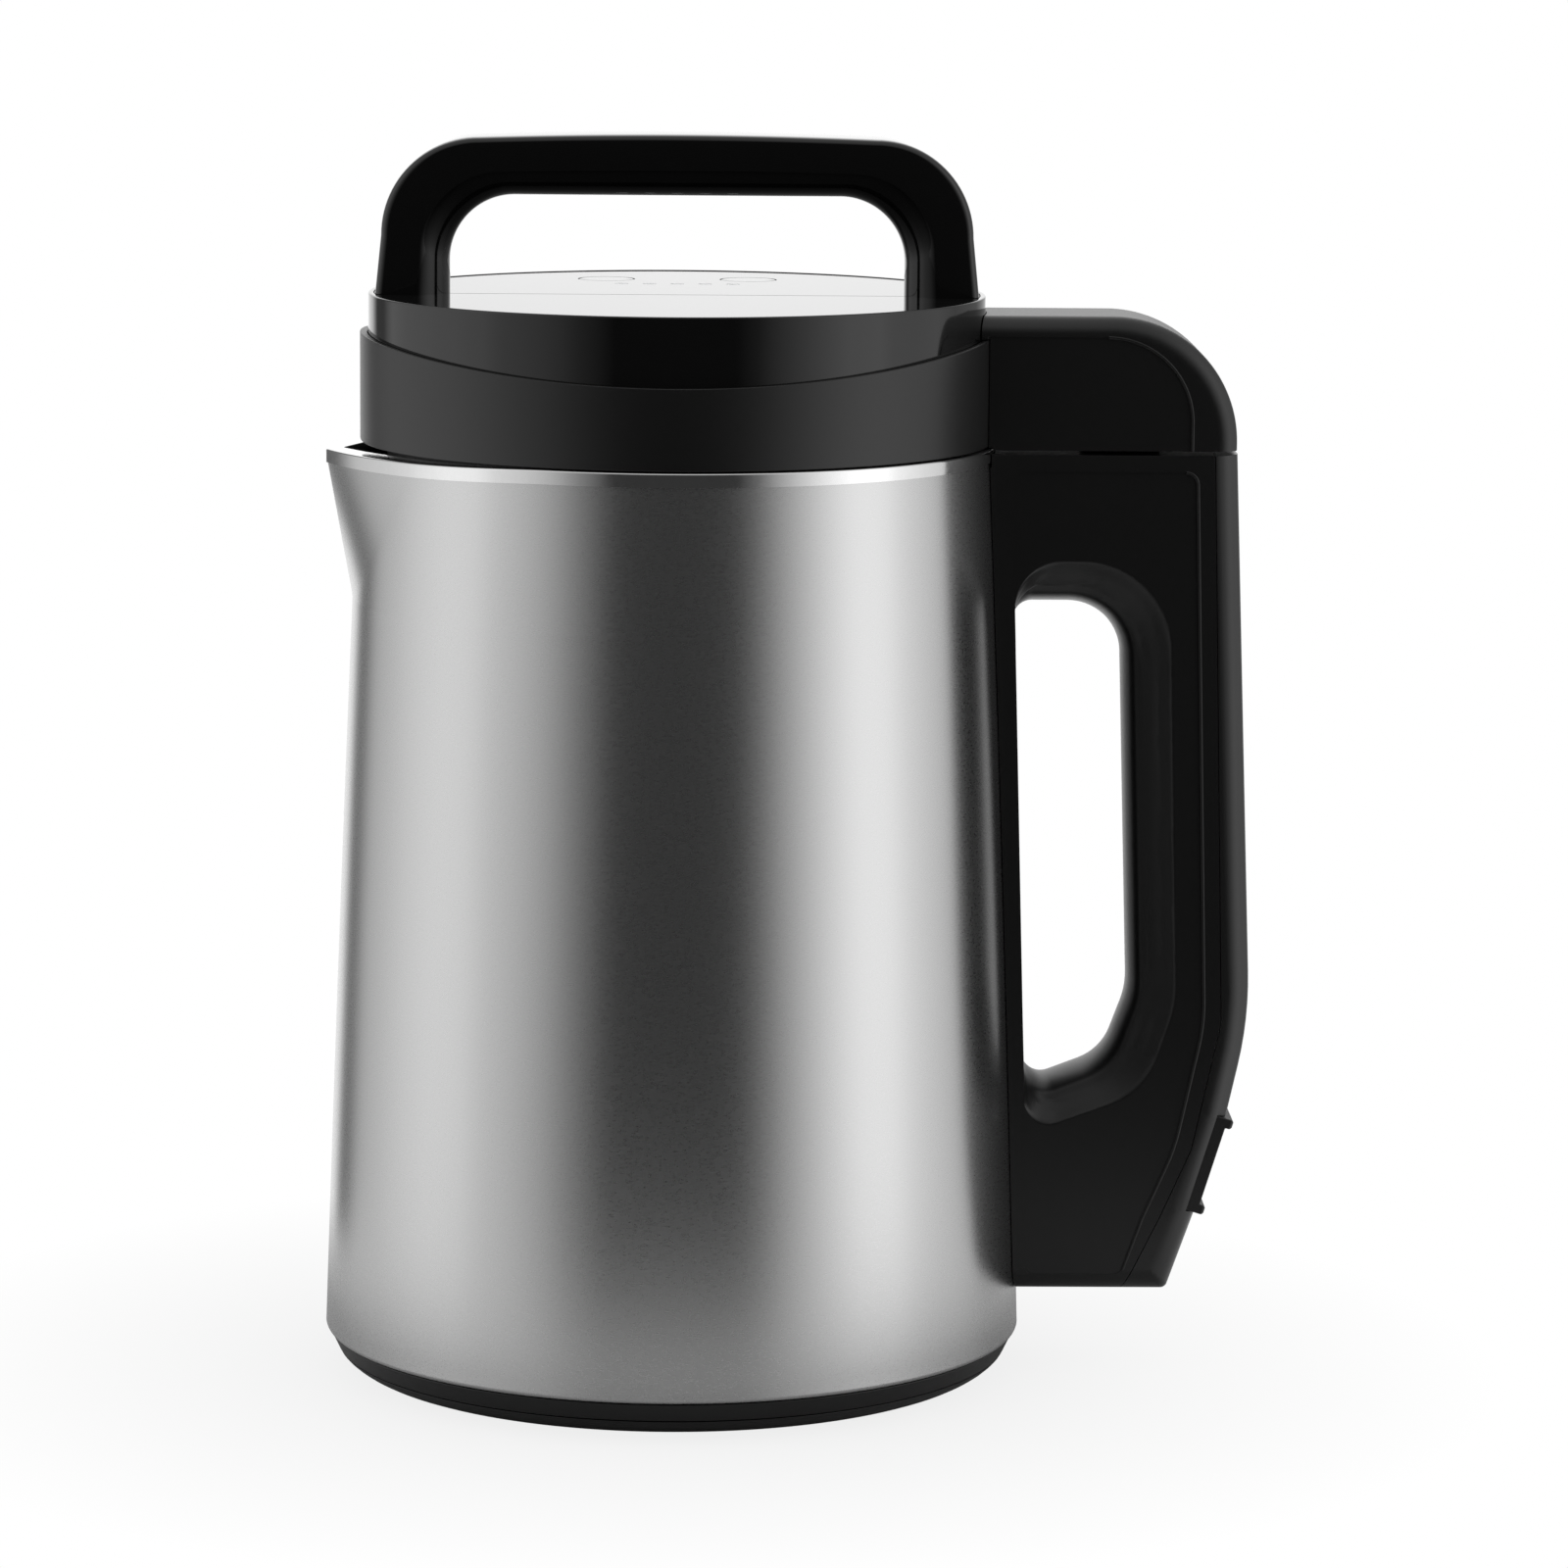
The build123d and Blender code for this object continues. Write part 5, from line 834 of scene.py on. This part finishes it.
def round_opening(shape):
    """Swell the wall of the opening and lead its scoop down to it; returns the points to keep."""
    moves = {vert: move for vert in shape.verts if (move := round_move(vert))}
    for vert, (push, height) in moves.items():
        vert.co.y = height if vert.co.y > 0 else -height
        vert.co += push
    scoop = [vert for vert in moves if EASE_LOW < abs(vert.co.y) < EASE_HIGH]
    for _ in range(SMOOTH_PASSES):
        bmesh.ops.smooth_vert(shape, verts=scoop, factor=0.5,
                              use_axis_x=True, use_axis_y=True, use_axis_z=True)
    print("wall and scoop:", len(moves), "points moved")
    edge = {v for v in shape.verts if near_grip(v.co) and abs(abs(v.co.y) - PANEL_Y) < 3 * CLOSE}
    return edge | set(moves)


round_points = round_opening(grip_shape)
handle = softened("handle_moulding", grip_shape, GRIP_WIDTH, plain=round_points)
settle(handle, "jug", "matt_plastic", "handle_body")

# %% [markdown]
# ## Node trees for beads and repeated pieces
# A fine rounded bead runs along the edge of each side panel, and shows as a thin line of light. The
# feet and the contact pins each repeat one shape. They could be modelled one by one, but both are
# rules: sweep a round section along edges, and set copies on points. Geometry Nodes hold such a
# rule in a tree whose inputs are the sizes, so a new size needs no new mesh.

# %% Build the tree for beads
def start_tree(name, sockets):
    """Geometry node tree with inputs given as (name, socket kind), and its input node."""
    tree = bpy.data.node_groups.new(name, "GeometryNodeTree")
    panel = tree.interface
    panel.new_socket("Geometry", in_out="INPUT", socket_type="NodeSocketGeometry")
    for label, kind in sockets:
        panel.new_socket(label, in_out="INPUT", socket_type=kind)
    panel.new_socket("Geometry", in_out="OUTPUT", socket_type="NodeSocketGeometry")
    return tree, add(tree, "NodeGroupInput")


def end_tree(tree, geometry, finish):
    """Close a tree with real copies and their material."""
    real = add(tree, "GeometryNodeRealizeInstances", links={0: geometry})
    dressed = add(tree, "GeometryNodeSetMaterial",
                  links={"Geometry": real.outputs[0], "Material": finish})
    add(tree, "NodeGroupOutput", links={0: dressed.outputs[0]})
    return tree


def bead_tree():
    """Sweep a round section along the edges of a mesh."""
    tree, given = start_tree("bead_along_edges", [
        ("Bead Radius", "NodeSocketFloat"), ("Sides", "NodeSocketInt"),
        ("Finish", "NodeSocketMaterial")])
    path = add(tree, "GeometryNodeMeshToCurve", links={0: given.outputs["Geometry"]})
    section = add(tree, "GeometryNodeCurvePrimitiveCircle", links={
        "Resolution": given.outputs["Sides"], "Radius": given.outputs["Bead Radius"]})
    swept = add(tree, "GeometryNodeCurveToMesh", links={
        "Curve": path.outputs[0], "Profile Curve": section.outputs[0], "Fill Caps": True})
    return end_tree(tree, swept.outputs[0], given.outputs["Finish"])


beads = bead_tree()
print("tree:", beads.name, len(beads.nodes), "nodes")

# %% Build the tree for copies
def copies_tree():
    """Set copies of one piece on the points of a mesh."""
    tree, given = start_tree("copies_on_points", [
        ("Piece", "NodeSocketObject"), ("Tilt", "NodeSocketVector"),
        ("Finish", "NodeSocketMaterial")])
    piece = add(tree, "GeometryNodeObjectInfo", links={"Object": given.outputs["Piece"]})
    copies = add(tree, "GeometryNodeInstanceOnPoints", links={
        "Points": given.outputs["Geometry"], "Instance": piece.outputs["Geometry"],
        "Rotation": given.outputs["Tilt"]})
    return end_tree(tree, copies.outputs[0], given.outputs["Finish"])


def grown(name, points, edges, tree, values):
    """Plain mesh object that a tree grows on points and edges."""
    seed = bpy.data.meshes.new(name)
    seed.from_pydata(points, edges, [])
    piece = new_object(name, seed)
    growth = piece.modifiers.new("growth", "NODES")
    growth.node_group = tree
    for item in tree.interface.items_tree:
        if item.in_out == "INPUT" and item.name in values:
            growth[item.identifier] = values[item.name]
    mesh = bake(piece)
    mesh.shade_smooth()
    mesh.set_sharp_from_angle(angle=radians(SHARP))
    return piece


copies = copies_tree()
print("tree:", copies.name, len(copies.nodes), "nodes")

# %% [markdown]
# ## Beads along the side panels
# The path of each bead is already in the solids: it is the foot of the low step round a side panel.
# It could be typed in again as points, but then it would drift when the part changes. So the edges
# are looked up by where they lie, and the tree sweeps its round section along them. The real bead
# stops short of the jug, and so does this one.

# %% Lay the beads along the side panels
BEAD_RADIUS, BEAD_OUT, BEAD_SIDES = 0.45 * MM, 0.1 * MM, 12
BEAD_FROM_X = 92 * MM


def panel_edges(solid):
    """Points and edges of the step round each side panel of a solid."""
    shape = merged_copy(solid)
    places, steps = {}, []
    for edge in shape.edges:
        on_floor = all(abs(abs(v.co.y) - PANEL_Y) < 2 * CLOSE for v in edge.verts)
        walls = [face for face in edge.link_faces if abs(face.normal.y) < 0.5
                 and max(abs(v.co.y) for v in face.verts) > SIDE_Y - 2 * CLOSE]
        if on_floor and walls and min(v.co.x for v in edge.verts) > BEAD_FROM_X:
            ends = [tuple(round(c, 7) for c in v.co) for v in edge.verts]
            steps.append([places.setdefault(end, len(places)) for end in ends])
    shape.free()
    points = [(x, y + (BEAD_OUT if y > 0 else -BEAD_OUT), z) for x, y, z in places]
    return points, steps


for name, solid, body in [("grip_beads", "handle_body", "jug"), ("arm_beads", "lid_arm", "lid")]:
    points, steps = panel_edges(solid)
    bead = grown(name, points, steps, beads, {
        "Bead Radius": BEAD_RADIUS, "Sides": BEAD_SIDES, "Finish": finishes["matt_plastic"]})
    settle(bead, body, "matt_plastic")

# %% [markdown]
# ## Rubber feet
# The four feet are small turned pads under the base. Each could be a copy of its solid, but those
# have coarse rims. So the places and the size are read from the solid, one foot is turned, and the
# tree sets it on the four places.

# %% Find the places of repeated pieces
def loose_parts(solid):
    """Corner points of each separate body in a solid, in the same order on each run."""
    shape = merged_copy(solid)
    left, parts = dict.fromkeys(shape.verts), []
    while left:
        stack, found = [left.popitem()[0]], []
        while stack:
            vert = stack.pop()
            found.append(vert.co.copy())
            for edge in vert.link_edges:
                other = edge.other_vert(vert)
                if other in left:
                    del left[other]
                    stack.append(other)
        parts.append(found)
    shape.free()
    return parts


def middle(points):
    """Middle of the box round some points."""
    return Vector([(min(p[i] for p in points) + max(p[i] for p in points)) / 2 for i in range(3)])


def set_copies(name, source, points, tilt, finish):
    """Copies of a source piece on points; the source itself is taken away."""
    made = grown(name, points, [], copies, {"Piece": source, "Tilt": tilt, "Finish": finish})
    bpy.data.objects.remove(source)
    return made


foot_parts, pin_parts = loose_parts("rubber_feet"), loose_parts("inlet_pins")
print(len(foot_parts), "feet and", len(pin_parts), "pins")

# %% Set the feet
FOOT_STEPS, FOOT_EDGE, FOOT_RISE, FOOT_ROUND = 48, 0.8 * MM, 1.0 * MM, 0.4 * MM
ON_AXIS = 0.01 * MM


def foot_piece(radius, height):
    """Turned rubber foot, standing on the table."""
    corners = [(ON_AXIS, 0, 0), (radius - FOOT_EDGE, 0, FOOT_ROUND),
               (radius, FOOT_RISE, FOOT_ROUND), (radius, height, 0.0), (ON_AXIS, height, 0.0)]
    return turned("foot", corners, count=FOOT_STEPS)


foot_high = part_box("rubber_feet")[1]
foot_radius = foot_high.x - middle(foot_parts[0]).to_2d().length * sqrt(0.5)
foot_points = [(m.x, m.y, 0) for m in (middle(part) for part in foot_parts)]
foot = foot_piece(foot_radius, foot_high.z)
feet = set_copies("table_feet", foot, foot_points, (0, 0, 0), finishes["rubber"])
settle(feet, "jug", "rubber", "rubber_feet")

# %% [markdown]
# ## Contact pins
# Three flat brass blades stand in the mains inlet, all alike, with rounded edges. The tree sets one
# blade on their three roots and turns it to the slant of the inlet. Copies of the solid would be
# simpler, but it is 1.6 mm longer, and then brass would show past the inlet from the side.

# %% Set the contact pins
PIN_SHORT, PIN_HIGH, PIN_THICK, PIN_ROUND = 1.6 * MM, 4 * MM, 2 * MM, 0.35 * MM


def blade_piece(length):
    """Flat contact blade along +X with rounded edges."""
    shape = bmesh.new()
    bmesh.ops.create_cube(shape, size=1)
    for vert in shape.verts:
        vert.co = ((vert.co.x + 0.5) * length, vert.co.y * PIN_THICK, vert.co.z * PIN_HIGH)
    bmesh.ops.bevel(shape, geom=list(shape.edges), offset=PIN_ROUND, segments=3, profile=0.5,
                    affect="EDGES")
    return finish_mesh("blade", shape)


pin_ends = [sorted(part, key=lambda p: p.x) for part in pin_parts]
pin_roots = [sum(part[:4], Vector()) / 4 for part in pin_ends]
run = sum(pin_ends[0][4:], Vector()) / 4 - pin_roots[0]
tilt = (0, atan2(-run.z, run.x), 0)
blade = blade_piece(run.length - PIN_SHORT)
pins = set_copies("contact_pins", blade, pin_roots, tilt, finishes["brass"])
settle(pins, "jug", "brass", "inlet_pins")

# %% [markdown]
# ## Plates and keys of the lid
# The gloss plates lie almost level with the ring's lip, and the keys and lenses lie level with the
# plates. Each could be moved as a whole, but then it would leave its seat. So each is a copy of its
# solid whose upper face is lifted by the same step, and the gaps between them stay as they are.

# %% Lift the upper faces
PLATE_LIFT, FACE_BAND = 1.0 * MM, 0.4 * MM
for name, solid, body, slot, width in [
    ("front_plate", "top_plate", "lid", "smoked_gloss", 0.25 * MM),
    ("key_plate", "control_panel", "lid", "smoked_gloss", 0.25 * MM),
    ("start_key", "start_button", "start_button", "button_plastic", 0.25 * MM),
    ("mode_key", "mode_button", "mode_button", "button_plastic", 0.25 * MM),
    ("lamp_lenses", "indicator_lenses", "lid", "clear_lens", 0.15 * MM),
]:
    lifted = merged_copy(solid)
    for vert in lifted.verts:
        if vert.co.z > plate_high.z - FACE_BAND:
            vert.co.z += PLATE_LIFT
    settle(softened(name, lifted, width), body, slot, solid)

# %% [markdown]
# ## Lid handle
# The bow handle is a thick gloss moulding with a full, soft section: a rounder edge towards the
# fingers and a tighter one outside. A bevel on the solid can't give two such edges that run into
# each other. So its section is a superellipse, whose power sets how square each side is, and it is
# carried along the bow from foot to foot, between an outer and an inner line.

# %% Draw the two lines of the bow
bow_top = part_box("lid_handle")[1].z
BOW_FOOT_X, BOW_SHOULDER_X = 74.3 * MM, 72.7 * MM
BOW_SHOULDER_Z = bow_top - 0.9 * MM
BOW_CORNER = 24 * MM
BOW_GAP_X, BOW_GAP_CORNER = 56 * MM, 16 * MM
BOW_GAP_Z = bow_top - 15.5 * MM
LEG_STEPS, BEND_STEPS, BAR_STEPS = 24, 26, 30


def bow_lines():
    """Pairs of outer and inner points in the XZ plane, from the left foot to the right one."""
    foot = plate_high.z
    outer_corner = Vector((BOW_SHOULDER_X - BOW_CORNER, BOW_SHOULDER_Z - BOW_CORNER))
    inner_corner = Vector((BOW_GAP_X - BOW_GAP_CORNER, BOW_GAP_Z - BOW_GAP_CORNER))
    right = []
    for share in [k / LEG_STEPS for k in range(LEG_STEPS)]:
        lean = BOW_FOOT_X + (BOW_SHOULDER_X - BOW_FOOT_X) * share
        right.append((Vector((lean, foot + (outer_corner.y - foot) * share)),
                      Vector((BOW_GAP_X, foot + (inner_corner.y - foot) * share))))
    for a in quarter_turn(BEND_STEPS):
        way = Vector((cos(a), sin(a)))
        right.append((outer_corner + way * BOW_CORNER, inner_corner + way * BOW_GAP_CORNER))
    for share in spread_points(0, 1, BAR_STEPS):
        crown = (bow_top - BOW_SHOULDER_Z) * (1 - (1 - share)**2)
        right.append((Vector((outer_corner.x * (1 - share), BOW_SHOULDER_Z + crown)),
                      Vector((inner_corner.x * (1 - share), BOW_GAP_Z))))
    left = [(Vector((-outer.x, outer.y)), Vector((-inner.x, inner.y))) for outer, inner in right]
    return left[:-1] + right[::-1]


lines = bow_lines()
print("the bow has", len(lines), "sections")

# %% Make the lid handle
BOW_HALF, SECTION_STEPS = 12 * MM, 48
OUTSIDE_POWER, FINGER_POWER = 10.0, 2.0
TENON_INSET, TENON_HALF = Vector((4.5 * MM, 0)), 6 * MM


def bow_section(outer, inner, half):
    """Row round one section: squarer outside, rounder towards the fingers."""
    centre, reach = (outer + inner) / 2, (outer - inner) / 2
    row = []
    for k in range(SECTION_STEPS):
        a = 2 * pi * (k + 0.5) / SECTION_STEPS
        power = OUTSIDE_POWER if cos(a) > 0 else FINGER_POWER
        u = abs(cos(a))**(2 / power) * (1 if cos(a) > 0 else -1)
        v = abs(sin(a))**(2 / power) * (1 if sin(a) > 0 else -1)
        point = centre + reach * u
        row.append((point.x, half * v, point.y))
    return row


sections = [bow_section(outer, inner, BOW_HALF) for outer, inner in lines]
tenons = []
for (outer, inner), side in ((lines[0], -1), (lines[-1], 1)):
    narrow = bow_section(outer - TENON_INSET * side, inner + TENON_INSET * side, TENON_HALF)
    drop = plate_high.z - plate_low.z
    tenons.append([narrow, [(x, y, z - drop) for x, y, z in narrow]])
bow = skin("lid_bow", tenons[0][::-1] + sections + tenons[1], closed=False, caps=True)
settle(bow, "lid", "gloss_black", "lid_handle")
